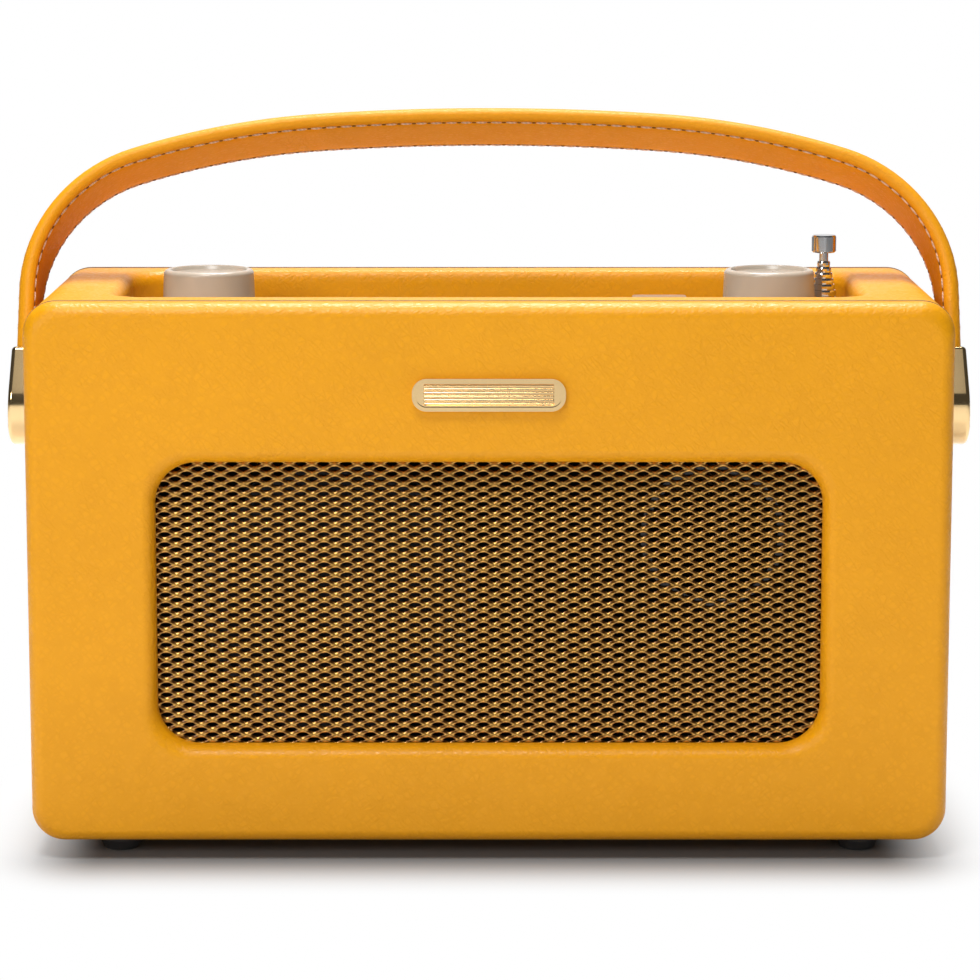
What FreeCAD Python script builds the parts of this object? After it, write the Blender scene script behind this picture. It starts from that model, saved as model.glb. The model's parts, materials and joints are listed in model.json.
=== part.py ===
import FreeCAD, Part
import Sketcher
import math
import os
import re

# Portable radio in a leathercloth cabinet, with a strap handle that pivots at the sides.
# Millimetres. X to the right, Y to the back, Z up. The origin is on the floor, under the
# middle of the cabinet, and the cabinet's front faces -Y.

Vector = FreeCAD.Vector

# ---------------------------------------------------------------- driving dimensions

SIZES = {
    # cabinet
    "case_width": 255.0,
    "case_height": 151.0,
    "case_depth": 104.0,
    "case_corner": 12.0,
    "foot_height": 5.3,
    "foot_radius": 6.0,
    "foot_taper": 1.2,
    "foot_rounding": 0.9,
    "foot_across": 104.0,
    "foot_along": 35.0,
    "foot_screw_radius": 1.5,
    "foot_screw_head": 2.8,
    "foot_screw_length": 9.0,
    "foot_screw_sink": 1.4,
    "cover_thickness": 1.0,
    "sleeve_wall": 6.0,
    "shell_depth": 6.0,
    "shell_rounding": 5.0,
    "seam_gap": 0.6,
    # recess in the top, with the control panel at its bottom
    "recess_width": 224.0,
    "recess_front": 34.0,
    "recess_back": 36.0,
    "recess_corner": 12.0,
    "recess_depth": 8.0,
    "lip_rounding": 4.0,
    "panel_thickness": 2.5,
    "panel_margin": 2.5,
    # window in the front, grille and baffle
    "window_width": 184.0,
    "window_height": 79.4,
    "window_low": 27.3,
    "window_corner": 11.6,
    "rim_rounding": 4.6,
    "grille_thickness": 1.3,
    "grille_margin": 4.0,
    "mesh_long": 12.6,
    "mesh_short": 6.6,
    "mesh_strand": 1.7,
    "baffle_thickness": 6.0,
    "badge_length": 42.0,
    "badge_height": 9.0,
    "badge_thickness": 1.6,
    "badge_rim": 1.1,
    "badge_flat": 0.5,
    "badge_sink": 0.5,
    "badge_low": 121.5,
    # loudspeaker and bass port
    "speaker_across": 42.3,
    "speaker_up": 67.3,
    "speaker_mouth": 40.0,
    "basket_flange": 46.0,
    "basket_sheet": 1.5,
    "basket_depth": 22.0,
    "basket_lip": 1.8,
    "basket_shoulder": 0.5,
    "basket_waist": 4.0,
    "basket_slot_start": 6.6,
    "basket_slot_depth": 9.9,
    "basket_slot_width": 22.0,
    "coil_gap": 1.0,
    "magnet_radius": 30.0,
    "magnet_depth": 14.0,
    "magnet_chamfer": 3.0,
    "surround_width": 5.0,
    "surround_rise": 2.0,
    "surround_land": 1.0,
    "surround_fit": 0.2,
    "cone_depth": 14.0,
    "cone_paper": 0.8,
    "cone_neck": 12.0,
    "cone_lip": 2.0,
    "speaker_screw_radius": 1.5,
    "speaker_screw_length": 5.5,
    "screw_room": 1.0,
    "speaker_screw_circle": 43.0,
    "port_across": 61.9,
    "port_up": 85.6,
    "port_radius": 18.0,
    "port_wall": 2.0,
    "port_length": 44.0,
    "port_flange": 3.0,
    # push-and-turn knobs
    "knob_across": 80.0,
    "knob_radius": 13.2,
    "knob_top_radius": 12.8,
    "knob_height": 11.4,
    "knob_gap": 0.8,
    "knob_edge": 1.6,
    "knob_hollow": 8.0,
    "knob_hollow_depth": 4.5,
    "dish_radius": 10.8,
    "dish_depth": 1.3,
    "dish_floor": 6.5,
    "dish_curve": 0.4,
    "spindle_radius": 3.0,
    "spindle_fit": 0.06,
    "spindle_foot": 1.2,
    "spindle_socket": 1.5,
    "travel_room": 0.3,
    "bush_radius": 4.5,
    "bush_rise": 2.4,
    "bush_fit": 0.1,
    "encoder_side": 13.0,
    "encoder_depth": 8.0,
    "encoder_lid": 2.0,
    "rotor_radius": 5.2,
    "rotor_height": 2.4,
    "knob_travel": 0.6,
    # push keys
    "key_length": 16.0,
    "key_width": 7.6,
    "key_corner": 1.6,
    "key_rise": 1.5,
    "key_fit": 0.25,
    "key_drop": 0.3,
    "key_flange": 1.0,
    "key_flange_sheet": 0.8,
    "key_travel": 0.8,
    "key_stem": 1.5,
    "column_across": 50.0,
    "column_back": 27.0,
    "column_pitch": 13.5,
    "preset_front": 22.0,
    "preset_left": 45.0,
    "preset_pitch": 24.0,
    # display and control board
    "display_width": 80.0,
    "display_depth": 30.0,
    "display_left": 52.0,
    "display_front": 7.0,
    "window_ledge": 1.5,
    "window_glass": 1.0,
    "board_drop": 5.3,
    "board_thickness": 1.6,
    "board_half": 67.0,
    "board_post": 3.0,
    "board_edge": 1.0,
    "switch_side": 6.0,
    "switch_height": 2.7,
    "switch_bite": 0.5,
    # telescopic aerial
    "aerial_across": 96.4,
    "aerial_back": 9.0,
    "rod_diameter": 2.6,
    "tube_wall": 0.25,
    "tube_fit": 0.1,
    "bead_height": 1.62,
    "bead_growth": 0.2,
    "bead_gap": 0.04,
    "collar_radius": 4.0,
    "collar_rise": 3.6,
    "collar_edge": 0.5,
    "aerial_depth": 106.0,
    "aerial_plug": 3.0,
    "aerial_step": 0.6,
    "neck_rise": 2.5,
    "tip_radius": 3.5,
    "tip_height": 5.0,
    "tip_edge": 0.4,
    # handle
    "pivot_up": 117.2,
    "handle_lean": 25.0,
    "handle_rise": 86.4,
    "handle_reach": 7.9,
    "crown_half": 50.0,
    "crown_radius": 700.0,
    "haunch_half": 100.0,
    "haunch_radius": 220.0,
    "strap_width": 20.0,
    "strap_thickness": 5.0,
    "strap_rounding": 2.4,
    "lining_thickness": 1.5,
    "lining_inset": 0.8,
    "cap_radius": 12.5,
    "cap_rise": 12.6,
    "cap_top_reach": 8.5,
    "cap_reach": 9.6,
    "cap_edge": 1.6,
    "cap_floor": 5.0,
    "washer_thickness": 1.4,
    "washer_radius": 8.0,
    "stud_radius": 3.0,
    "stud_fit": 0.06,
    "stud_bite": 6.0,
    "stud_room": 0.3,
    "stud_flange": 6.0,
    "stud_flange_sheet": 2.0,
    "handle_gap": 0.1,
    # battery bay and door in the back
    "bay_width": 120.0,
    "bay_height": 50.0,
    "bay_depth": 30.0,
    "bay_low": 24.0,
    "bay_wall": 2.0,
    "bay_flange": 6.0,
    "door_thickness": 2.5,
    "door_sink": 0.8,
    "door_gap": 0.3,
    "door_swing": 100.0,
    "ear_width": 3.0,
    "hinge_radius": 1.0,
    "hinge_fit": 0.06,
    "pin_room": 0.5,
    "grip_start": 6.0,
    "grip_width": 1.5,
    "grip_pitch": 4.0,
    "grip_depth": 0.6,
    "latch_width": 14.0,
    "latch_height": 9.0,
    "latch_travel": 2.0,
    "latch_drop": 3.0,
    "latch_gap": 0.1,
    "latch_sheet": 1.2,
    "latch_wing": 2.0,
    "ridge_half": 0.8,
    "ridge_inset": 1.5,
    "ridge_root": 0.5,
    "ridge_rise": 0.6,
    "contact_side": 10.0,
    "contact_sheet": 0.5,
    "contact_pitch": 16.0,
    "contact_spring": 3.5,
    "spring_reach": 4.0,
    "button_reach": 1.5,
    # main board and sockets
    "main_board_width": 112.0,
    "main_board_depth": 34.0,
    "main_board_post": 14.0,
    "main_post_radius": 3.0,
    "parts_inset": 2.0,
    "shield_left": 46.0,
    "shield_length": 28.0,
    "shield_width": 16.0,
    "shield_height": 3.0,
    "processor_left": 14.0,
    "processor_side": 12.0,
    "capacitor_left": 36.0,
    "capacitor_pitch": 10.0,
    "capacitor_back": 8.0,
    "capacitor_radius": 4.0,
    "capacitor_height": 11.0,
    "socket_plate_width": 84.0,
    "socket_plate_height": 16.0,
    "socket_plate_corner": 3.2,
    "socket_sheet": 1.5,
    "socket_pitch": 24.0,
    "jack_radius": 1.75,
    "jack_bush": 3.2,
    "jack_depth": 14.0,
    "inlet_radius": 3.2,
    "inlet_pin": 1.0,
    "inlet_bush": 4.6,
    "inlet_depth": 9.0,
    "socket_body": 10.0,
}

TUBES = 6
PRESETS = 4
FUNCTION_KEYS = 4
CELL_ROWS = 3
GRIP_GROOVES = 3
SPEAKER_SCREWS = 4

# ---------------------------------------------------------------- formulas

FORMULAS = {
    "case_half": "case_width / 2",
    "case_bottom": "foot_height",
    "case_top": "foot_height + case_height",
    "case_front": "-case_depth / 2",
    "case_back": "case_depth / 2",
    "sleeve_front": "case_front + shell_depth",
    "sleeve_back": "case_back - shell_depth",
    "wall": "cover_thickness + sleeve_wall",
    "cavity_half": "case_half - wall",
    "cavity_low": "case_bottom + wall",
    "cavity_high": "case_top - wall",
    "panel_top": "case_top - recess_depth",
    "panel_under": "panel_top - panel_thickness",
    "window_bottom": "case_bottom + window_low",
    "window_top": "window_bottom + window_height",
    "grille_back": "sleeve_front + grille_thickness",
    "baffle_back": "grille_back + baffle_thickness",
    "speaker_z": "case_bottom + speaker_up",
    "port_z": "case_bottom + port_up",
    "surround_rim": "speaker_mouth - surround_land",
    "cone_rim": "surround_rim - surround_width",
    "badge_bottom": "case_bottom + badge_low",
    "badge_corner": "badge_height / 2 - badge_flat",
    "knob_bottom": "panel_top + knob_gap",
    "knob_roof": "knob_height - dish_depth",
    "encoder_bottom": "panel_under - encoder_depth",
    "rotor_top": "panel_under - encoder_lid",
    "rotor_bottom": "rotor_top - rotor_height",
    "spindle_bottom": "rotor_bottom - spindle_foot",
    "spindle_top": "knob_bottom + knob_roof - spindle_socket",
    "spindle_well": "spindle_bottom - knob_travel - travel_room",
    "key_top": "panel_top + key_rise",
    "key_shoulder": "panel_under - key_drop",
    "key_base": "key_shoulder - key_flange_sheet",
    "board_top": "panel_under - board_drop",
    "board_under": "board_top - board_thickness",
    "switch_top": "board_top + switch_height",
    "stem_bottom": "switch_top - switch_bite",
    "switch_floor": "stem_bottom - key_travel - travel_room",
    "glass_under": "panel_top - window_glass",
    "tube_step": "2 * (tube_wall + tube_fit)",
    "collar_top": "panel_top + collar_rise",
    "aerial_bottom": "panel_top - aerial_depth",
    "pivot_z": "case_bottom + pivot_up",
    "cap_inner": "washer_thickness + handle_gap",
    "strap_outer": "case_half + handle_reach",
    "strap_inner": "strap_outer - strap_thickness",
    "bay_bottom": "case_bottom + bay_low",
    "bay_top": "bay_bottom + bay_height",
    "bay_front": "sleeve_back - bay_depth",
    "door_half": "bay_width / 2",
    "opening_half": "door_half + 2 * door_gap + ear_width",
    "swing_dip": "(door_thickness / 2) * (1 / cos(door_swing - 90) - 1)"
                 " + (case_back - hinge_y) * tan(door_swing - 90)",
    "door_bottom": "bay_bottom + door_gap + swing_dip",
    "door_top": "bay_top - door_gap",
    "door_outer": "case_back - door_sink",
    "door_inner": "door_outer - door_thickness",
    "hinge_y": "door_outer - door_thickness / 2",
    "hinge_z": "door_bottom + door_thickness / 2",
    "pin_half": "door_half + door_gap + ear_width - pin_room",
    "latch_top": "door_top - latch_drop",
    "latch_middle": "latch_top - latch_height / 2",
    "main_board_under": "bay_top + bay_wall + main_board_post",
    "main_board_top": "main_board_under + board_thickness",
    "parts_front": "sleeve_back - main_board_depth + parts_inset",
    "socket_z": "main_board_top + socket_body / 2",
    "socket_back": "case_back - socket_sheet",
}

WORD = re.compile(r"[a-z_]+")

doc = FreeCAD.newDocument("portable_radio")
sheet = doc.addObject("Spreadsheet::Sheet", "sizes")
sheet.Label = "sizes"
for row, (alias, number) in enumerate(SIZES.items(), start=1):
    sheet.set("A%d" % row, alias)
    sheet.set("B%d" % row, str(number))
    sheet.setAlias("B%d" % row, alias)
doc.recompute()


def link(formula):
    """Turn a formula in plain words into an expression that reads the sheet."""

    def expand(match):
        word = match.group(0)
        if word in SIZES:
            return "<<sizes>>." + word
        if word in FORMULAS:
            return "(" + link(FORMULAS[word]) + ")"
        return word

    return WORD.sub(expand, str(formula))


def value(formula):
    """The number that a formula gives with the sheet as it is."""
    return float(sheet.evalExpression(link(formula)))


# ---------------------------------------------------------------- ways of modelling

made = {}


def keep(label, thing):
    """Register a finished sub-part under the name of its node."""
    thing.Label = label
    made[label] = thing
    return thing


def bind(thing, field, formula):
    """Bind one field of a document object to the sheet."""
    thing.setExpression(field, link(formula))


def place(thing, across="0", back="0", up="0"):
    """Bind where a sub-part's own origin lies."""
    bind(thing, "Placement.Base.x", across)
    bind(thing, "Placement.Base.y", back)
    bind(thing, "Placement.Base.z", up)
    return thing


def new_body(name):
    """An empty body with its own origin planes."""
    return doc.addObject("PartDesign::Body", name)


def new_sketch(body, role, height="0"):
    """A sketch on one of the body's origin planes, lifted along that plane's normal."""
    sketch = body.newObject("Sketcher::SketchObject", body.Name + "_sketch")
    for plane in body.Origin.OriginFeatures:
        if plane.Role == role:
            sketch.AttachmentSupport = [(plane, "")]
    sketch.MapMode = "FlatFace"
    bind(sketch, "AttachmentOffset.Base.z", height)
    return sketch


def hold(sketch, kind, places, formula):
    """Add one dimension to a sketch and bind it."""
    index = sketch.addConstraint(Sketcher.Constraint(kind, *places, value(formula)))
    bind(sketch, "Constraints[%d]" % index, formula)


def pin_point(sketch, line, end, across, up):
    """Dimension one end of a line from the sketch's origin."""
    hold(sketch, "DistanceX", (-1, 1, line, end), across)
    hold(sketch, "DistanceY", (-1, 1, line, end), up)


def draw_circle(sketch, across, up, radius):
    """A circle, placed and sized by formulas."""
    centre = Vector(value(across), value(up), 0)
    circle = sketch.addGeometry(Part.Circle(centre, Vector(0, 0, 1), value(radius)))
    hold(sketch, "Radius", (circle,), radius)
    pin_point(sketch, circle, 3, across, up)


def draw_polygon(sketch, corners):
    """A closed outline of straight lines through corners given as formulas."""
    points = [Vector(value(across), value(up), 0) for across, up in corners]
    lines = []
    for start, end in zip(points, points[1:] + points[:1]):
        lines.append(sketch.addGeometry(Part.LineSegment(start, end)))
    for line, following in zip(lines, lines[1:] + lines[:1]):
        sketch.addConstraint(Sketcher.Constraint("Coincident", line, 2, following, 1))
    for line, (across, up) in zip(lines, corners):
        pin_point(sketch, line, 1, across, up)


def draw_rectangle(sketch, left, right, low, high, radius=None):
    """A rectangle between four formulas, with round corners if a radius is given."""
    if radius is None:
        draw_polygon(sketch, [(left, low), (right, low), (right, high), (left, high)])
        return
    x0, x1, z0, z1 = value(left), value(right), value(low), value(high)
    r = value(radius)
    centres = [(x1 - r, z0 + r), (x1 - r, z1 - r), (x0 + r, z1 - r), (x0 + r, z0 + r)]
    ends = [(x0 + r, z0), (x1 - r, z0), (x1, z0 + r), (x1, z1 - r),
            (x1 - r, z1), (x0 + r, z1), (x0, z1 - r), (x0, z0 + r)]
    lines = []
    arcs = []
    for side in range(4):
        start = Vector(*ends[2 * side], 0)
        end = Vector(*ends[2 * side + 1], 0)
        lines.append(sketch.addGeometry(Part.LineSegment(start, end)))
        ring = Part.Circle(Vector(*centres[side], 0), Vector(0, 0, 1), r)
        angle = (side - 1) * math.pi / 2
        arcs.append(sketch.addGeometry(Part.ArcOfCircle(ring, angle, angle + math.pi / 2)))
    for side in range(4):
        after = lines[(side + 1) % 4]
        sketch.addConstraint(Sketcher.Constraint("Tangent", lines[side], 2, arcs[side], 1))
        sketch.addConstraint(Sketcher.Constraint("Tangent", arcs[side], 2, after, 1))
    for side in (1, 2, 3):
        sketch.addConstraint(Sketcher.Constraint("Equal", arcs[0], arcs[side]))
    hold(sketch, "Radius", (arcs[0],), radius)
    sketch.addConstraint(Sketcher.Constraint("Horizontal", lines[0]))
    sketch.addConstraint(Sketcher.Constraint("Vertical", lines[1]))
    hold(sketch, "DistanceY", (-1, 1, lines[0], 1), low)
    hold(sketch, "DistanceX", (-1, 1, lines[1], 1), right)
    hold(sketch, "DistanceY", (-1, 1, lines[2], 1), high)
    hold(sketch, "DistanceX", (-1, 1, lines[3], 1), left)


def pad(body, sketch, length, backwards=False):
    """Extrude a sketch along its plane's normal, or against it."""
    feature = body.newObject("PartDesign::Pad", body.Name + "_pad")
    feature.Profile = sketch
    feature.Reversed = backwards
    bind(feature, "Length", length)
    doc.recompute()
    return feature


def pocket(body, sketch, depth, along=False):
    """Cut a sketch into the solid, against its plane's normal or along it."""
    before = body.Shape.Volume
    feature = body.newObject("PartDesign::Pocket", body.Name + "_pocket")
    feature.Profile = sketch
    feature.Type = "Length"
    feature.Reversed = along
    bind(feature, "Length", depth)
    doc.recompute()
    if body.Shape.Volume > before - 1e-6:
        raise RuntimeError(body.Name + ": a pocket cut nothing")
    return feature


def revolve(body, sketch):
    """Turn a sketch once about its vertical axis."""
    feature = body.newObject("PartDesign::Revolution", body.Name + "_turn")
    feature.Profile = sketch
    feature.ReferenceAxis = (sketch, ["V_Axis"])
    feature.Angle = 360
    doc.recompute()
    return feature


def turned(name, role, corners):
    """A body turned from an outline of (radius, height) formulas."""
    body = new_body(name)
    sketch = new_sketch(body, role)
    draw_polygon(sketch, corners)
    revolve(body, sketch)
    return body


SEARCH = 3.0
"""How far outside an outline its own edges are still looked for."""


def edges_where(feature, test):
    """Names of the edges whose box passes a test."""
    names = []
    for index, edge in enumerate(feature.Shape.Edges, start=1):
        if test(edge.BoundBox):
            names.append("Edge%d" % index)
    return names


def fillet(body, feature, radius, test):
    """Round the edges of the last feature that pass a test."""
    names = edges_where(feature, test)
    rounded = body.newObject("PartDesign::Fillet", body.Name + "_fillet")
    rounded.Base = (feature, names)
    bind(rounded, "Radius", radius)
    doc.recompute()
    return rounded


def near(number, formula):
    """Whether a coordinate is at the place that a formula gives."""
    return abs(number - value(formula)) < 0.01


def cut(name, base, tool):
    """One solid less another."""
    result = doc.addObject("Part::Cut", name)
    result.Base = base
    result.Tool = tool
    doc.recompute()
    return result


def fuse(name, things):
    """Several solids made one."""
    result = doc.addObject("Part::MultiFuse", name)
    result.Shapes = things
    doc.recompute()
    return result


def box(name, left, right, front, back, low, high):
    """A plain block between six formulas."""
    block = doc.addObject("Part::Box", name)
    bind(block, "Length", "(%s) - (%s)" % (right, left))
    bind(block, "Width", "(%s) - (%s)" % (back, front))
    bind(block, "Height", "(%s) - (%s)" % (high, low))
    return place(block, left, front, low)


def cylinder(name, radius, length, across, back, up, axis="Z"):
    """A round bar that starts at a point and runs along +Z, +Y or +X."""
    bar = doc.addObject("Part::Cylinder", name)
    bind(bar, "Radius", radius)
    bind(bar, "Height", length)
    turns = {"Z": (Vector(0, 0, 1), 0), "Y": (Vector(1, 0, 0), -90), "X": (Vector(0, 1, 0), 90)}
    bar.Placement = FreeCAD.Placement(Vector(), FreeCAD.Rotation(*turns[axis]))
    return place(bar, across, back, up)


def solids(label, shapes):
    """A sub-part of several separate solids that are alike."""
    group = doc.addObject("Part::Feature", label)
    group.Shape = Part.makeCompound(shapes)
    return keep(label, group)


def moved(shape, across=0.0, back=0.0, up=0.0):
    """A copy of a shape, moved."""
    copy = shape.copy()
    copy.translate(Vector(across, back, up))
    return copy


# ---------------------------------------------------------------- cabinet sleeve and its cover

def sleeve_form(name, inset, trim):
    """The solid form of the sleeve: a round-cornered block with the recess in its top."""
    body = new_body(name)
    sketch = new_sketch(body, "XZ_Plane", "-(sleeve_front + %s)" % trim)
    draw_rectangle(sketch, "-(case_half - %s)" % inset, "case_half - %s" % inset,
                   "case_bottom + %s" % inset, "case_top - %s" % inset, "case_corner - %s" % inset)
    pad(body, sketch, "sleeve_back - sleeve_front - 2 * %s" % trim, backwards=True)
    mouth = new_sketch(body, "XY_Plane", "case_top - %s" % inset)
    draw_rectangle(mouth, "-(recess_width / 2 + %s)" % inset, "recess_width / 2 + %s" % inset,
                   "-(recess_front + %s)" % inset, "recess_back + %s" % inset,
                   "recess_corner + %s" % inset)
    recess = pocket(body, mouth, "recess_depth - %s" % inset)
    top = "case_top - %s" % inset
    fillet(body, recess, "lip_rounding - %s" % inset,
           lambda b: near(b.ZMin, top) and near(b.ZMax, top)
           and b.YMin > value("-recess_front") - SEARCH and b.YMax < value("recess_back") + SEARCH)
    return body


outer_form = sleeve_form("sleeve_outer_form", "0", "seam_gap")
core_form = sleeve_form("sleeve_core_form", "cover_thickness", "0")
core_bore = new_body("sleeve_bore")
bore_sketch = new_sketch(core_bore, "XZ_Plane", "-sleeve_front")
draw_rectangle(bore_sketch, "-cavity_half", "cavity_half", "cavity_low", "cavity_high",
               "case_corner - wall")
pad(core_bore, bore_sketch, "sleeve_back - sleeve_front", backwards=True)


def foot_places():
    """Where the four feet stand."""
    across = value("foot_across")
    along = value("foot_along")
    return [(x, y) for x in (-across, across) for y in (-along, along)]


def four_bars(name, radius, low, length):
    """Four upright bars, one at each foot."""
    bars = []
    for index, (side, end) in enumerate([(-1, -1), (-1, 1), (1, -1), (1, 1)]):
        bars.append(cylinder("%s_%d" % (name, index), radius, length,
                             "%d * foot_across" % side, "%d * foot_along" % end, low))
    return fuse(name, bars)


stud_bore = cylinder("stud_bore", "stud_radius", "2 * case_half", "-case_half", "0", "pivot_z",
                     axis="X")
foot_bores = four_bars("foot_bores", "foot_screw_radius", "0", "foot_screw_length + screw_room")
keep("cabinet_sleeve", cut("sleeve_drilled",
                           cut("sleeve_studded", cut("sleeve_hollow", core_form, core_bore),
                               stud_bore), foot_bores))
keep("cabinet_leathercloth", cut("cover_drilled",
                                 cut("cover_studded", cut("cover_skin", outer_form, core_form),
                                     stud_bore), foot_bores))

# ---------------------------------------------------------------- front and back shells


def shell_form(name, inset, front=True):
    """The solid form of a shell that closes the sleeve, rounded round its outer edge."""
    body = new_body(name)
    start = "-sleeve_front" if front else "-sleeve_back"
    sketch = new_sketch(body, "XZ_Plane", start)
    draw_rectangle(sketch, "-(case_half - %s)" % inset, "case_half - %s" % inset,
                   "case_bottom + %s" % inset, "case_top - %s" % inset, "case_corner - %s" % inset)
    plate = pad(body, sketch, "shell_depth - %s" % inset, backwards=not front)
    face = "case_front + %s" % inset if front else "case_back - %s" % inset
    return body, plate, face


def flat_at(face):
    """A test for edges that lie in one plane across Y."""
    return lambda b: near(b.YMin, face) and near(b.YMax, face)


def front_form(name, inset):
    """The front shell's form, with the window and its rolled rim."""
    body, plate, face = shell_form(name, inset)
    plate = fillet(body, plate, "shell_rounding - %s" % inset, flat_at(face))
    window = new_sketch(body, "XZ_Plane", "-(%s)" % face)
    draw_rectangle(window, "-(window_width / 2 + %s)" % inset, "window_width / 2 + %s" % inset,
                   "window_bottom - %s" % inset, "window_top + %s" % inset,
                   "window_corner + %s" % inset)
    opened = pocket(body, window, "shell_depth")
    reach = value("window_width / 2") + SEARCH
    fillet(body, opened, "rim_rounding - %s" % inset,
           lambda b: flat_at(face)(b) and b.XMax < reach and b.XMin > -reach
           and b.ZMin > value("window_bottom") - SEARCH
           and b.ZMax < value("window_top") + SEARCH)
    return body


front_outer = front_form("front_outer_form", "0")
front_core = front_form("front_core_form", "cover_thickness")
keep("front_frame", front_core)
front_skin = cut("front_skin", front_outer, front_core)


def back_form(name, inset):
    """The back shell's form, with the openings for the battery door and the sockets."""
    body, plate, face = shell_form(name, inset, front=False)
    fillet(body, plate, "shell_rounding - %s" % inset, flat_at(face))
    door = new_sketch(body, "XZ_Plane", "-sleeve_back")
    draw_rectangle(door, "-opening_half", "opening_half", "bay_bottom", "bay_top")
    pocket(body, door, "shell_depth", along=False)
    plate_hole = new_sketch(body, "XZ_Plane", "-sleeve_back")
    draw_rectangle(plate_hole, "-socket_plate_width / 2", "socket_plate_width / 2",
                   "socket_z - socket_plate_height / 2", "socket_z + socket_plate_height / 2",
                   "socket_plate_corner")
    pocket(body, plate_hole, "shell_depth", along=False)
    return body


back_outer = back_form("back_outer_form", "0")
back_core = back_form("back_core_form", "cover_thickness")
keep("back_panel", back_core)
keep("back_leathercloth", cut("back_skin", back_outer, back_core))

# ---------------------------------------------------------------- badge plaque


badge = new_body("badge")
badge_sketch = new_sketch(badge, "XZ_Plane", "-(case_front + badge_sink)")
draw_rectangle(badge_sketch, "-badge_length / 2", "badge_length / 2", "badge_bottom",
               "badge_bottom + badge_height", "badge_corner")
pad(badge, badge_sketch, "badge_thickness + badge_sink")
badge_field = new_sketch(badge, "XZ_Plane", "-(case_front - badge_thickness)")
draw_rectangle(badge_field, "-badge_length / 2 + badge_rim", "badge_length / 2 - badge_rim",
               "badge_bottom + badge_rim", "badge_bottom + badge_height - badge_rim",
               "badge_corner - badge_rim")
pocket(badge, badge_field, "badge_thickness / 2")
keep("badge_plaque", badge)
badge_seat = new_body("badge_seat")
seat_sketch = new_sketch(badge_seat, "XZ_Plane", "-(case_front + badge_sink)")
draw_rectangle(seat_sketch, "-badge_length / 2", "badge_length / 2", "badge_bottom",
               "badge_bottom + badge_height", "badge_corner")
pad(badge_seat, seat_sketch, "badge_sink + 1")
keep("front_leathercloth", cut("front_cover", front_skin, badge_seat))

# ---------------------------------------------------------------- grille and baffle


def expanded_metal():
    """Flat expanded metal: diamond holes in staggered rows, inside a plain margin."""
    half = value("window_width / 2 + grille_margin")
    low = value("window_bottom - grille_margin")
    high = value("window_top + grille_margin")
    front = value("sleeve_front")
    sheet_metal = value("grille_thickness")
    long_way = value("mesh_long")
    short_way = value("mesh_short")
    strand = value("mesh_strand")
    plate = Part.makeBox(2 * half, sheet_metal, high - low, Vector(-half, front, low))
    hole_long = long_way / 2 - strand
    hole_short = short_way / 2 - strand / 2
    middle = (low + high) / 2
    columns = int((value("window_width") - long_way) / long_way)
    rows = int((value("window_height") - short_way) / short_way * 2)
    holes = []
    for row in range(-(rows // 2), rows // 2 + 1):
        shift = (row % 2) * long_way / 2
        for column in range(-(columns // 2), columns // 2 + 1):
            x = column * long_way + shift
            z = middle + row * short_way / 2
            if abs(x) + hole_long > value("window_width / 2"):
                continue
            corners = [Vector(x - hole_long, front, z), Vector(x, front, z - hole_short),
                       Vector(x + hole_long, front, z), Vector(x, front, z + hole_short)]
            outline = Part.makePolygon(corners + corners[:1])
            holes.append(Part.Face(outline).extrude(Vector(0, sheet_metal, 0)))
    return plate.cut(holes)


grille = doc.addObject("Part::Feature", "grille")
grille.Shape = expanded_metal()
keep("speaker_grille", grille)

baffle = new_body("baffle")
baffle_sketch = new_sketch(baffle, "XZ_Plane", "-grille_back")
draw_rectangle(baffle_sketch, "-cavity_half", "cavity_half", "cavity_low", "panel_under",
               "case_corner - wall")
draw_circle(baffle_sketch, "-speaker_across", "speaker_z", "speaker_mouth")
draw_circle(baffle_sketch, "port_across", "port_z", "port_radius + port_wall")
pad(baffle, baffle_sketch, "baffle_thickness", backwards=True)
screw_holes = new_sketch(baffle, "XZ_Plane", "-baffle_back")
for index in range(SPEAKER_SCREWS):
    turn = 360 * (index + 0.5) / SPEAKER_SCREWS
    draw_circle(screw_holes, "-speaker_across + speaker_screw_circle * cos(%g)" % turn,
                "speaker_z + speaker_screw_circle * sin(%g)" % turn, "speaker_screw_radius")
pocket(baffle, screw_holes, "speaker_screw_length - basket_sheet + screw_room", along=True)
keep("speaker_baffle", baffle)

port = turned("port", "XY_Plane", [
    ("port_radius", "grille_back"),
    ("port_radius + port_wall", "grille_back"),
    ("port_radius + port_wall", "baffle_back"),
    ("port_radius + port_wall + port_flange", "baffle_back"),
    ("port_radius + port_wall + port_flange", "baffle_back + port_wall"),
    ("port_radius + port_wall", "baffle_back + port_wall"),
    ("port_radius + port_wall", "baffle_back + port_length"),
    ("port_radius", "baffle_back + port_length"),
])
keep("bass_port", place(port, "port_across", "0", "port_z"))

# ---------------------------------------------------------------- loudspeaker


def speaker_part(label, corners):
    """A part of the loudspeaker, turned about its axis, measured from the baffle's back."""
    body = turned(label + "_body", "XY_Plane", corners)
    return keep(label, place(body, "-speaker_across", "baffle_back", "speaker_z"))


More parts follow.
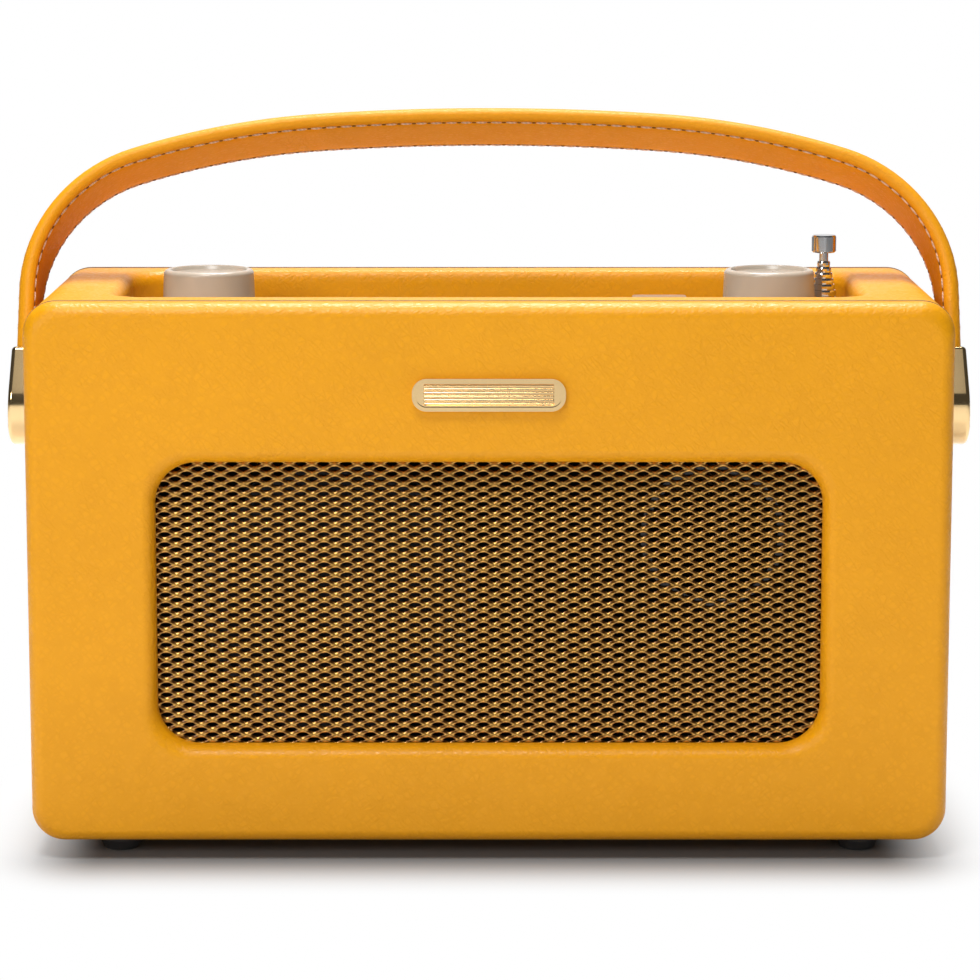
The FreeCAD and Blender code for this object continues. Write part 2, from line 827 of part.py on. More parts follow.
basket = turned("basket", "XY_Plane", [
    ("speaker_mouth - basket_lip", "0"),
    ("basket_flange", "0"),
    ("basket_flange", "basket_sheet"),
    ("speaker_mouth - basket_shoulder", "basket_sheet"),
    ("magnet_radius - basket_waist", "basket_depth"),
    ("cone_neck + coil_gap", "basket_depth"),
    ("cone_neck + coil_gap", "basket_depth - basket_sheet"),
    ("magnet_radius - basket_waist - basket_sheet", "basket_depth - basket_sheet"),
])
place(basket, "-speaker_across", "baffle_back", "speaker_z")
basket_slots = []
for index in range(SPEAKER_SCREWS):
    width = value("basket_slot_width")
    corner = Vector(value("cone_neck"), value("basket_slot_start"), -width / 2)
    opening = Part.makeBox(value("speaker_mouth"), value("basket_slot_depth"), width, corner)
    opening.rotate(Vector(), Vector(0, 1, 0), 360 / SPEAKER_SCREWS * index)
    basket_slots.append(moved(opening, -value("speaker_across"), value("baffle_back"),
                              value("speaker_z")))
slot_tool = doc.addObject("Part::Feature", "basket_slots")
slot_tool.Shape = Part.makeCompound(basket_slots)
screw_places = []
for index in range(SPEAKER_SCREWS):
    angle = 2 * math.pi * (index + 0.5) / SPEAKER_SCREWS
    screw_places.append((-value("speaker_across") + value("speaker_screw_circle") * math.cos(angle),
                         value("speaker_z") + value("speaker_screw_circle") * math.sin(angle)))


def speaker_screw(radius, head):
    """One screw through the basket's flange into the baffle, head at the back."""
    length = value("speaker_screw_length")
    front = value("baffle_back + basket_sheet") - length
    shank = Part.makeCylinder(radius, length, Vector(0, front, 0), Vector(0, 1, 0))
    if not head:
        return shank
    top = Part.makeCylinder(2 * radius, radius, Vector(0, front + length, 0), Vector(0, 1, 0))
    return shank.fuse(top).removeSplitter()


flange_tool = doc.addObject("Part::Feature", "flange_holes")
flange_tool.Shape = Part.makeCompound([
    moved(speaker_screw(value("speaker_screw_radius"), False), x, 0, z) for x, z in screw_places])
keep("speaker_basket", cut("basket_drilled", cut("basket_open", basket, slot_tool), flange_tool))
solids("speaker_screws", [moved(speaker_screw(value("speaker_screw_radius"), True), x, 0, z)
                          for x, z in screw_places])
speaker_part("speaker_magnet", [
    ("0", "basket_depth"),
    ("magnet_radius", "basket_depth"),
    ("magnet_radius", "basket_depth + magnet_depth - magnet_chamfer"),
    ("magnet_radius - magnet_chamfer", "basket_depth + magnet_depth"),
    ("0", "basket_depth + magnet_depth"),
])
speaker_part("speaker_surround", [
    ("speaker_mouth - surround_fit", "-cone_paper"),
    ("surround_rim", "-cone_paper"),
    ("surround_rim - surround_width / 4", "-cone_paper - surround_rise"),
    ("cone_rim + surround_width / 4", "-cone_paper - surround_rise"),
    ("cone_rim", "-cone_paper"),
    ("cone_rim", "0"),
    ("cone_rim + surround_width / 4", "-surround_rise"),
    ("surround_rim - surround_width / 4", "-surround_rise"),
    ("surround_rim", "0"),
    ("speaker_mouth - surround_fit", "0"),
])
speaker_part("speaker_cone", [
    ("cone_rim", "-cone_paper"),
    ("cone_rim", "0"),
    ("cone_rim - cone_lip", "0"),
    ("cone_neck", "cone_depth"),
    ("cone_neck", "basket_depth"),
    ("cone_neck - cone_paper", "basket_depth"),
    ("cone_neck - cone_paper", "cone_depth"),
    ("cone_neck / 2", "cone_depth - 4 * cone_paper"),
    ("0", "cone_depth - 5 * cone_paper"),
    ("0", "cone_depth - 6 * cone_paper"),
    ("cone_neck / 2", "cone_depth - 5 * cone_paper"),
    ("cone_neck", "cone_depth - 1.75 * cone_paper"),
    ("cone_rim - 1.5 * cone_lip", "-cone_paper"),
])

# ---------------------------------------------------------------- control panel and its board


def tube_outside(number):
    """Formula for the outer radius of a tube. Tube 0 is the fixed sleeve."""
    return "rod_diameter / 2 + %d * tube_step / 2" % (TUBES + 1 - number)


def preset_left(index):
    """Formula for the middle of one preset key, counted from the left."""
    return "-preset_left + %d * preset_pitch" % index


def column_back(index):
    """Formula for the middle of one function key, counted from the back."""
    return "column_back - %d * column_pitch" % index


KEYS = {}
for index in range(PRESETS):
    KEYS["preset_key_%d" % (index + 1)] = (preset_left(index), "-preset_front")
for index in range(FUNCTION_KEYS):
    KEYS["function_key_%d" % (index + 1)] = ("column_across", column_back(index))

panel = new_body("panel")
panel_sketch = new_sketch(panel, "XY_Plane", "panel_under")
draw_rectangle(panel_sketch, "-(recess_width / 2 + cover_thickness + panel_margin)",
               "recess_width / 2 + cover_thickness + panel_margin",
               "-(recess_front + cover_thickness + panel_margin)",
               "recess_back + cover_thickness + panel_margin", "recess_corner + panel_margin")
pad(panel, panel_sketch, "cavity_high - panel_under")
panel_floor = new_sketch(panel, "XY_Plane", "cavity_high")
draw_rectangle(panel_floor, "-(recess_width / 2 + cover_thickness)",
               "recess_width / 2 + cover_thickness", "-(recess_front + cover_thickness)",
               "recess_back + cover_thickness", "recess_corner + cover_thickness")
pocket(panel, panel_floor, "cavity_high - panel_top")
key_slots = new_sketch(panel, "XY_Plane", "panel_top")
for across, back in KEYS.values():
    draw_rectangle(key_slots, "(%s) - key_length / 2 - key_fit" % across,
                   "(%s) + key_length / 2 + key_fit" % across,
                   "(%s) - key_width / 2 - key_fit" % back,
                   "(%s) + key_width / 2 + key_fit" % back, "key_corner + key_fit")
pocket(panel, key_slots, "panel_thickness")
display_bore = new_sketch(panel, "XY_Plane", "panel_top")
draw_rectangle(display_bore, "-display_left", "-display_left + display_width",
               "-display_front", "-display_front + display_depth")
pocket(panel, display_bore, "panel_thickness")
glass_seat = new_sketch(panel, "XY_Plane", "panel_top")
draw_rectangle(glass_seat, "-display_left - window_ledge",
               "-display_left + display_width + window_ledge",
               "-display_front - window_ledge", "-display_front + display_depth + window_ledge")
pocket(panel, glass_seat, "window_glass")
bushes = new_sketch(panel, "XY_Plane", "panel_top")
draw_circle(bushes, "-knob_across", "0", "bush_radius")
draw_circle(bushes, "knob_across", "0", "bush_radius")
draw_circle(bushes, "aerial_across", "aerial_back", tube_outside(0))
pocket(panel, bushes, "panel_thickness")
keep("control_panel", panel)

glass = new_body("glass")
glass_sketch = new_sketch(glass, "XY_Plane", "glass_under")
draw_rectangle(glass_sketch, "-display_left - window_ledge",
               "-display_left + display_width + window_ledge",
               "-display_front - window_ledge", "-display_front + display_depth + window_ledge")
pad(glass, glass_sketch, "window_glass")
keep("display_window", glass)
module_gap = "key_fit"
keep("display_module", box("module", "-display_left + %s" % module_gap,
                           "-display_left + display_width - %s" % module_gap,
                           "-display_front + %s" % module_gap,
                           "-display_front + display_depth - %s" % module_gap,
                           "board_top", "glass_under"))

board = new_body("board")
board_sketch = new_sketch(board, "XY_Plane", "board_under")
draw_rectangle(board_sketch, "-board_half", "board_half", "-recess_front", "recess_back",
               "board_post")
pad(board, board_sketch, "board_thickness")
switches = new_sketch(board, "XY_Plane", "board_top")
for across, back in KEYS.values():
    draw_rectangle(switches, "(%s) - switch_side / 2" % across, "(%s) + switch_side / 2" % across,
                   "(%s) - switch_side / 2" % back, "(%s) + switch_side / 2" % back)
pad(board, switches, "switch_height")
plungers = new_sketch(board, "XY_Plane", "switch_top")
for across, back in KEYS.values():
    draw_circle(plungers, across, back, "key_stem + bush_fit")
pocket(board, plungers, "switch_top - switch_floor")
posts = new_sketch(board, "XY_Plane", "board_top")
for side in (-1, 1):
    for end in ("-recess_front + board_post + board_edge", "recess_back - board_post - board_edge"):
        draw_circle(posts, "%d * (board_half - board_post - board_edge)" % side, end, "board_post")
pad(board, posts, "board_drop")
keep("control_board", board)

for label, (across, back) in KEYS.items():
    key = new_body(label)
    stem = new_sketch(key, "XY_Plane", "stem_bottom")
    draw_circle(stem, "0", "0", "key_stem")
    pad(key, stem, "key_base - stem_bottom")
    flange = new_sketch(key, "XY_Plane", "key_base")
    draw_rectangle(flange, "-(key_length / 2 + key_flange)", "key_length / 2 + key_flange",
                   "-(key_width / 2 + key_flange)", "key_width / 2 + key_flange")
    pad(key, flange, "key_flange_sheet")
    cap = new_sketch(key, "XY_Plane", "key_shoulder")
    draw_rectangle(cap, "-key_length / 2", "key_length / 2", "-key_width / 2", "key_width / 2",
                   "key_corner")
    cap_pad = pad(key, cap, "key_top - key_shoulder")
    fillet(key, cap_pad, "key_corner / 3",
           lambda b: near(b.ZMin, "key_top") and near(b.ZMax, "key_top"))
    keep(label, place(key, across, back))

# ---------------------------------------------------------------- knobs that turn and press

for label, side in (("volume", -1), ("tuning", 1)):
    across = "%d * knob_across" % side
    knob = turned(label + "_knob_body", "XZ_Plane", [
        ("spindle_radius", "spindle_top - knob_bottom"),
        ("0", "spindle_top - knob_bottom"),
        ("0", "knob_roof"),
        ("dish_floor", "knob_roof + dish_curve"),
        ("dish_radius", "knob_height"),
        ("knob_top_radius", "knob_height"),
        ("knob_radius", "0"),
        ("knob_hollow", "0"),
        ("knob_hollow", "knob_hollow_depth"),
        ("spindle_radius", "knob_hollow_depth"),
    ])
    fillet(knob, knob.Tip, "knob_edge",
           lambda b: near(b.ZMin, "knob_height") and near(b.XMax, "knob_top_radius"))
    keep(label + "_knob", place(knob, across, "0", "knob_bottom"))

    spindle = turned(label + "_spindle_body", "XZ_Plane", [
        ("0", "spindle_bottom"),
        ("spindle_radius", "spindle_bottom"),
        ("spindle_radius", "spindle_top"),
        ("0", "spindle_top"),
    ])
    keep(label + "_spindle", place(spindle, across))

    rotor = turned(label + "_rotor_body", "XZ_Plane", [
        ("spindle_radius + spindle_fit", "rotor_bottom"),
        ("rotor_radius", "rotor_bottom"),
        ("rotor_radius", "rotor_top"),
        ("spindle_radius + spindle_fit", "rotor_top"),
    ])
    keep(label + "_rotor", place(rotor, across))

    housing = new_body(label + "_housing")
    square = new_sketch(housing, "XY_Plane", "encoder_bottom")
    draw_rectangle(square, "-encoder_side / 2", "encoder_side / 2", "-encoder_side / 2",
                   "encoder_side / 2")
    pad(housing, square, "encoder_depth")
    bush = new_sketch(housing, "XY_Plane", "panel_under")
    draw_circle(bush, "0", "0", "bush_radius")
    pad(housing, bush, "panel_thickness + bush_rise")
    well = turned(label + "_well", "XZ_Plane", [
        ("0", "spindle_well"),
        ("spindle_radius + bush_fit", "spindle_well"),
        ("spindle_radius + bush_fit", "rotor_bottom - spindle_fit"),
        ("rotor_radius + bush_fit", "rotor_bottom - spindle_fit"),
        ("rotor_radius + bush_fit", "rotor_top + spindle_fit"),
        ("spindle_radius + bush_fit", "rotor_top + spindle_fit"),
        ("spindle_radius + bush_fit", "panel_top + bush_rise + 1"),
        ("0", "panel_top + bush_rise + 1"),
    ])
    keep(label + "_encoder", place(cut(label + "_encoder_cut", housing, well), across))

# ---------------------------------------------------------------- telescopic aerial


def aerial_piece(label, corners):
    """A part of the aerial, turned about its own axis."""
    body = turned(label + "_body", "XZ_Plane", corners)
    return keep(label, place(body, "aerial_across", "aerial_back"))


aerial_piece("aerial_sleeve", [
    ("0", "aerial_bottom - aerial_plug"),
    (tube_outside(0), "aerial_bottom - aerial_plug"),
    (tube_outside(0), "panel_top"),
    ("collar_radius", "panel_top"),
    ("collar_radius", "collar_top - collar_edge"),
    ("collar_radius - collar_edge", "collar_top"),
    (tube_outside(1) + " + tube_fit", "collar_top"),
    (tube_outside(1) + " + tube_fit", "aerial_bottom"),
    ("0", "aerial_bottom"),
])
for number in range(1, TUBES + 1):
    outside = tube_outside(number)
    inside = tube_outside(number + 1) + " + tube_fit"
    low = "aerial_bottom + %d * aerial_step" % number
    bead_low = "collar_top + %d * (bead_height + bead_gap) + bead_gap" % (number - 1)
    bead_top = bead_low + " + bead_height"
    aerial_piece("aerial_tube_%d" % number, [
        (inside, low),
        (outside, low),
        (outside, bead_low),
        (outside + " + bead_growth * 0.6", bead_low),
        (outside + " + bead_growth", bead_low + " + bead_height * 0.3"),
        (outside + " + bead_growth", bead_low + " + bead_height * 0.7"),
        (outside + " + bead_growth * 0.4", bead_top),
        (inside, bead_top),
    ])
tip_low = "collar_top + %d * (bead_height + bead_gap) + neck_rise" % TUBES
rod_low = "aerial_bottom + %d * aerial_step" % (TUBES + 1)
aerial_piece("aerial_rod", [
    ("0", rod_low),
    ("rod_diameter / 2", rod_low),
    ("rod_diameter / 2", tip_low),
    ("tip_radius - tip_edge", tip_low),
    ("tip_radius", tip_low + " + tip_edge"),
    ("tip_radius", tip_low + " + tip_height - tip_edge"),
    ("tip_radius - tip_edge", tip_low + " + tip_height"),
    ("0", tip_low + " + tip_height"),
])

# ---------------------------------------------------------------- handle


def lean(thing):
    """Stand a handle part on the pivot's axis and lean it back to its rest place."""
    thing.Placement = FreeCAD.Placement(
        Vector(0, 0, value("pivot_z")), FreeCAD.Rotation(Vector(1, 0, 0), -value("handle_lean")))
    bind(thing, "Placement.Base.z", "pivot_z")
    bind(thing, "Placement.Rotation.Angle", "handle_lean")
    thing.setExpression("Placement.Rotation.Axis.x", "-1")
    return thing


def strap_line(inset):
    """One side's line of the strap, from the crown down: arcs that get tighter, then straight."""
    rise = value("handle_rise")
    crown = value("crown_radius")
    haunch = value("haunch_radius")
    first = math.asin(value("crown_half") / crown)
    centre_1 = Vector(0, 0, rise - crown)
    centre_2 = centre_1 + Vector(math.sin(first), 0, math.cos(first)) * (crown - haunch)
    second = math.asin((value("haunch_half") - centre_2.x) / haunch)
    shoulder = (value("strap_outer") - value("haunch_half")) / (1 - math.sin(second))
    centre_3 = centre_2 + Vector(math.sin(second), 0, math.cos(second)) * (haunch - shoulder)

    def on_arc(centre, radius, angle):
        return centre + Vector(math.sin(angle), 0, math.cos(angle)) * (radius - inset)

    def arc(centre, radius, start, end):
        points = [on_arc(centre, radius, start + (end - start) * part) for part in (0, 0.5, 1)]
        return Part.Arc(*points).toShape()

    foot = on_arc(centre_3, shoulder, math.pi / 2)
    return [
        arc(centre_1, crown, 0, first),
        arc(centre_2, haunch, first, second),
        arc(centre_3, shoulder, second, math.pi / 2),
        Part.LineSegment(foot, Vector(foot.x, 0, value("cap_floor"))).toShape(),
    ]


def strap_layer(outer_inset, inner_inset, width):
    """The arch between two insets from the strap's outer line, as wide as asked."""
    outer = strap_line(outer_inset)
    inner = strap_line(inner_inset)
    end = Part.LineSegment(outer[-1].Vertexes[-1].Point, inner[-1].Vertexes[-1].Point).toShape()
    start = Part.LineSegment(outer[0].Vertexes[0].Point, inner[0].Vertexes[0].Point).toShape()
    half = Part.Face(Part.Wire(Part.__sortEdges__(outer + [end] + inner + [start])))
    right = moved(half, 0, -width / 2).extrude(Vector(0, width, 0))
    left = right.mirror(Vector(), Vector(1, 0, 0))
    return right.fuse(left).removeSplitter()


def rounded_strap():
    """The outer layer of the strap with its two long outer edges rounded."""
    width = value("strap_width")
    layer = strap_layer(0, value("strap_thickness - lining_thickness"), width)
    line = Part.Wire(Part.__sortEdges__(strap_line(0)))
    chosen = []
    for edge in layer.Edges:
        middle = edge.valueAt((edge.FirstParameter + edge.LastParameter) / 2)
        flat = Vector(abs(middle.x), 0, middle.z)
        on_line = line.distToShape(Part.Vertex(flat))[0] < 0.01
        if on_line and abs(abs(middle.y) - width / 2) < 0.01 and edge.BoundBox.YLength < 0.01:
            chosen.append(edge)
    return layer.makeFillet(value("strap_rounding"), chosen)


strap = doc.addObject("Part::Feature", "strap")
strap.Shape = rounded_strap()
keep("handle_strap", lean(strap))
lining = doc.addObject("Part::Feature", "lining")
lining.Shape = strap_layer(value("strap_thickness - lining_thickness"), value("strap_thickness"),
                           value("strap_width - 2 * lining_inset"))
keep("handle_lining", lean(lining))

cap = new_body("cap")
cap_side = new_sketch(cap, "YZ_Plane", "case_half + cap_inner")
draw_rectangle(cap_side, "-cap_radius", "cap_radius", "0", "cap_rise")
pad(cap, cap_side, "cap_reach - cap_inner")
cap_end = new_sketch(cap, "YZ_Plane", "case_half + cap_inner")
draw_circle(cap_end, "0", "0", "cap_radius")
pad(cap, cap_end, "cap_reach - cap_inner")
cap_taper = new_sketch(cap, "XZ_Plane", "cap_radius + 1")
draw_polygon(cap_taper, [
    ("case_half + cap_reach", "-cap_radius"),
    ("case_half + cap_reach + 1", "-cap_radius"),
    ("case_half + cap_reach + 1", "cap_rise + 1"),
    ("case_half + cap_top_reach", "cap_rise + 1"),
    ("case_half + cap_top_reach", "cap_rise"),
])
cap_cut = pocket(cap, cap_taper, "2 * cap_radius + 2")
fillet(cap, cap_cut, "cap_edge",
       lambda b: b.XMin > value("case_half + cap_top_reach") - 0.01
       and b.ZMin < value("cap_rise") - 0.01)
cap_mouth = new_sketch(cap, "XY_Plane", "cap_rise")
draw_rectangle(cap_mouth, "strap_inner", "strap_outer", "-strap_width / 2", "strap_width / 2")
pocket(cap, cap_mouth, "cap_rise - cap_floor")
cap_bore = new_sketch(cap, "YZ_Plane", "case_half + cap_inner")
draw_circle(cap_bore, "0", "0", "stud_radius + stud_fit")
pocket(cap, cap_bore, "stud_bite + stud_room", along=True)
keep("handle_cap_right", lean(cap))
left_cap = doc.addObject("Part::Mirroring", "left_cap")
left_cap.Source = cap
left_cap.Normal = Vector(1, 0, 0)
keep("handle_cap_left", left_cap)

stud = turned("stud", "XY_Plane", [
    ("0", "cavity_half - stud_flange_sheet"),
    ("stud_flange", "cavity_half - stud_flange_sheet"),
    ("stud_flange", "cavity_half"),
    ("stud_radius", "cavity_half"),
    ("stud_radius", "case_half + cap_inner + stud_bite"),
    ("0", "case_half + cap_inner + stud_bite"),
])
washer = turned("washer", "XY_Plane", [
    ("stud_radius", "case_half"),
    ("washer_radius", "case_half"),
    ("washer_radius", "case_half + washer_thickness"),
    ("stud_radius", "case_half + washer_thickness"),
])
doc.recompute()


def both_sides(label, body):
    """A part turned about Y, laid along X on the pivot's axis, at both sides."""
    shape = body.Shape.copy()
    shape.rotate(Vector(), Vector(0, 0, 1), -90)
    shape.translate(Vector(0, 0, value("pivot_z")))
    return solids(label, [shape, shape.mirror(Vector(), Vector(1, 0, 0))])


both_sides("pivot_studs", stud)
both_sides("pivot_washers", washer)

# ---------------------------------------------------------------- battery bay, door and latch

bay = new_body("bay")
bay_sketch = new_sketch(bay, "XZ_Plane", "-sleeve_back")
draw_rectangle(bay_sketch, "-(bay_width / 2 + bay_wall)", "bay_width / 2 + bay_wall",
               "bay_bottom - bay_wall", "bay_top + bay_wall")
pad(bay, bay_sketch, "bay_depth + bay_wall")
bay_rim = new_sketch(bay, "XZ_Plane", "-sleeve_back")
draw_rectangle(bay_rim, "-(bay_width / 2 + bay_wall + bay_flange)",
               "bay_width / 2 + bay_wall + bay_flange", "bay_bottom - bay_wall - bay_flange",
               "bay_top + bay_wall + bay_flange", "bay_flange / 2")
pad(bay, bay_rim, "bay_wall")
jambs = new_sketch(bay, "XZ_Plane", "-door_outer")
draw_rectangle(jambs, "-opening_half", "-(door_half + door_gap)", "bay_bottom", "bay_top")
draw_rectangle(jambs, "door_half + door_gap", "opening_half", "bay_bottom", "bay_top")
pad(bay, jambs, "door_outer - sleeve_back")
bay_room = new_sketch(bay, "XZ_Plane", "-sleeve_back")
draw_rectangle(bay_room, "-bay_width / 2", "bay_width / 2", "bay_bottom", "bay_top")
pocket(bay, bay_room, "bay_depth", along=True)
board_posts = new_sketch(bay, "XY_Plane", "bay_top + bay_wall")
for side in (-1, 1):
    for end in ("sleeve_back - 2 * main_post_radius",
                "sleeve_back - main_board_depth + 2 * main_post_radius"):
        draw_circle(board_posts, "%d * (main_board_width / 2 - 2 * main_post_radius)" % side, end,
                    "main_post_radius")
pad(bay, board_posts, "main_board_post")
hinge_bore = new_sketch(bay, "YZ_Plane", "-opening_half - 1")
draw_circle(hinge_bore, "hinge_y", "hinge_z", "hinge_radius + hinge_fit")
pocket(bay, hinge_bore, "2 * opening_half + 2", along=True)
keep("battery_box", bay)

door = new_body("door")
door_sketch = new_sketch(door, "XZ_Plane", "-door_outer")
draw_rectangle(door_sketch, "-door_half", "door_half", "hinge_z", "door_top")
pad(door, door_sketch, "door_thickness")
barrel = new_sketch(door, "YZ_Plane", "-door_half")
draw_circle(barrel, "hinge_y", "hinge_z", "door_thickness / 2")
pad(door, barrel, "2 * door_half")
pins = new_sketch(door, "YZ_Plane", "-pin_half")
draw_circle(pins, "hinge_y", "hinge_z", "hinge_radius")
pad(door, pins, "2 * pin_half")
latch_slot = new_sketch(door, "XZ_Plane", "-door_outer")
draw_rectangle(latch_slot, "-(latch_width / 2 + door_gap)", "latch_width / 2 + door_gap",
               "latch_top - latch_height - latch_travel - door_gap", "latch_top")
pocket(door, latch_slot, "door_thickness", along=True)
grip = new_sketch(door, "XZ_Plane", "-door_outer")
for index in range(GRIP_GROOVES):
    groove = "hinge_z + grip_start + %d * grip_pitch" % index
    draw_rectangle(grip, "-latch_width", "latch_width", groove, groove + " + grip_width")
pocket(door, grip, "grip_depth", along=True)
keep("battery_door", door)

latch = new_body("latch")
latch_plate = new_sketch(latch, "XZ_Plane", "-door_outer")
draw_rectangle(latch_plate, "-latch_width / 2", "latch_width / 2",
               "latch_top - door_gap - latch_height", "latch_top - door_gap")
pad(latch, latch_plate, "door_thickness + latch_gap + latch_sheet")
tongue = new_sketch(latch, "XZ_Plane", "-(door_inner - latch_gap)")
draw_rectangle(tongue, "-(latch_width / 2 + latch_wing)", "latch_width / 2 + latch_wing",
               "latch_top - latch_height", "door_top")
pad(latch, tongue, "latch_sheet")
ridge = new_sketch(latch, "XZ_Plane", "-(door_outer - ridge_root)")
draw_rectangle(ridge, "-latch_width / 2 + ridge_inset", "latch_width / 2 - ridge_inset",
               "latch_middle - ridge_half", "latch_middle + ridge_half")
pad(latch, ridge, "ridge_root + ridge_rise", backwards=True)
keep("battery_latch", latch)


def contact_places():
    """The middle height of each row of cells."""
    middle = value("(bay_bottom + bay_top) / 2")
    return [middle + value("contact_pitch") * step for step in range(-1, CELL_ROWS - 1)]


def contact(height, side, reach):
    """A sprung plate on the left wall of the bay, or a buttoned one on its right wall."""
    size = value("contact_side")
    metal = value("contact_sheet")
    wall = side * value("bay_width / 2")
    middle = value("bay_front + bay_depth / 2")
    corner = Vector(min(wall, wall - side * metal), middle - size / 2, height - size / 2)
    spring = value("contact_spring")
    end = Part.makeCone(spring, spring / 2, reach, Vector(wall - side * metal, middle, height),
                        Vector(-side, 0, 0))
    return Part.makeBox(metal, size, size, corner).fuse(end)


contacts = []
for height in contact_places():
    contacts.append(contact(height, -1, value("spring_reach")))
    contacts.append(contact(height, 1, value("button_reach")))
solids("battery_contacts", contacts)

# ---------------------------------------------------------------- main board and sockets

main_board = new_body("main_board")
main_sketch = new_sketch(main_board, "XY_Plane", "main_board_under")
draw_rectangle(main_sketch, "-main_board_width / 2", "main_board_width / 2",
               "sleeve_back - main_board_depth", "sleeve_back")
pad(main_board, main_sketch, "board_thickness")
shield = new_sketch(main_board, "XY_Plane", "main_board_top")
draw_rectangle(shield, "-shield_left", "-shield_left + shield_length", "parts_front",
               "parts_front + shield_width")
draw_rectangle(shield, "processor_left", "processor_left + processor_side", "parts_front",
               "parts_front + processor_side")
pad(main_board, shield, "shield_height")
capacitors = new_sketch(main_board, "XY_Plane", "main_board_top")
for index in range(2):
    draw_circle(capacitors, "capacitor_left + %d * capacitor_pitch" % index,
                "sleeve_back - main_board_depth + capacitor_back", "capacitor_radius")
pad(main_board, capacitors, "capacitor_height")
keep("main_board", main_board)

SOCKETS = {"dc": -1, "headphone": 0, "aux": 1}
plate = new_body("socket_plate")
plate_sketch = new_sketch(plate, "XZ_Plane", "-case_back")
draw_rectangle(plate_sketch, "-socket_plate_width / 2", "socket_plate_width / 2",
               "socket_z - socket_plate_height / 2", "socket_z + socket_plate_height / 2",
               "socket_plate_corner")
draw_circle(plate_sketch, "-socket_pitch", "socket_z", "inlet_bush")
draw_circle(plate_sketch, "0", "socket_z", "jack_bush")
draw_circle(plate_sketch, "socket_pitch", "socket_z", "jack_bush")
pad(plate, plate_sketch, "socket_sheet")
keep("rear_socket_plate", plate)


def socket(name, across, bush_radius, bore_radius, depth, pin_radius=None):
    """A panel socket: a block on the board, a bush through the plate and a bore."""
    body = new_body(name)
    block = new_sketch(body, "XZ_Plane", "-socket_back")
    draw_rectangle(block, "-socket_body / 2", "socket_body / 2", "main_board_top",
                   "main_board_top + socket_body")
    pad(body, block, "jack_depth")
    bush = new_sketch(body, "XZ_Plane", "-case_back")
    draw_circle(bush, "0", "socket_z", bush_radius)
    pad(body, bush, "socket_sheet")
    bore = new_sketch(body, "XZ_Plane", "-case_back")
    draw_circle(bore, "0", "socket_z", bore_radius)
    if pin_radius:
        draw_circle(bore, "0", "socket_z", pin_radius)
    pocket(body, bore, depth, along=True)
    return place(body, across)


keep("dc_inlet", socket("inlet", "-socket_pitch", "inlet_bush", "inlet_radius", "inlet_depth",
                        "inlet_pin"))
headphone = socket("headphone", "0", "jack_bush", "jack_radius", "jack_depth")
auxiliary = socket("auxiliary", "socket_pitch", "jack_bush", "jack_radius", "jack_depth")
doc.recompute()
solids("audio_jacks", [headphone.Shape.copy(), auxiliary.Shape.copy()])

# ---------------------------------------------------------------- feet

foot = turned("foot", "XZ_Plane", [
    ("foot_screw_head", "0"),
    ("foot_radius - foot_taper", "0"),
    ("foot_radius", "foot_height / 2"),
    ("foot_radius", "foot_height"),
    ("foot_screw_radius", "foot_height"),
    ("foot_screw_radius", "foot_height / 2"),
    ("foot_screw_head", "foot_height / 2"),
])
fillet(foot, foot.Tip, "foot_rounding",
       lambda b: b.ZMax < value("foot_height * 0.6") and b.XMax > value("foot_screw_head + 0.1"))
foot_screw = turned("foot_screw", "XZ_Plane", [
    ("0", "foot_height / 2 - foot_screw_sink"),
    ("foot_screw_head", "foot_height / 2 - foot_screw_sink"),
    ("foot_screw_head", "foot_height / 2"),
    ("foot_screw_radius", "foot_height / 2"),
    ("foot_screw_radius", "foot_screw_length"),
    ("0", "foot_screw_length"),
])
doc.recompute()
solids("feet", [moved(foot.Shape, x, y) for x, y in foot_places()])
solids("foot_screws", [moved(foot_screw.Shape, x, y) for x, y in foot_places()])

# ---------------------------------------------------------------- check and write

doc.recompute()
for thing in doc.Objects:
    if "Invalid" in thing.State or "Error" in thing.State:
        raise RuntimeError("%s is %s" % (thing.Name, thing.State))
os.makedirs("parts", exist_ok=True)
for label, thing in made.items():
    shape = thing.Shape
    if shape.isNull() or not shape.isValid() or not shape.Solids:
        raise RuntimeError(label + " has no valid solid")
for label, thing in made.items():
    thing.Shape.exportStep("parts/%s.step" % label)
print("%d sub-parts, %d faces" % (len(made), sum(len(t.Shape.Faces) for t in made.values())))
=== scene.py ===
"""Studio scene of a portable radio in grained leathercloth, dressed round its CAD frame.

Everything is in metres: X to the right, Y to the back, Z up, with the floor at Z = 0.
"""

from __future__ import annotations

import json
import logging
import math
from collections.abc import Callable, Iterator
from contextlib import contextmanager
from dataclasses import dataclass, field
from enum import Enum

import bmesh
import bpy
from mathutils import Matrix, Vector

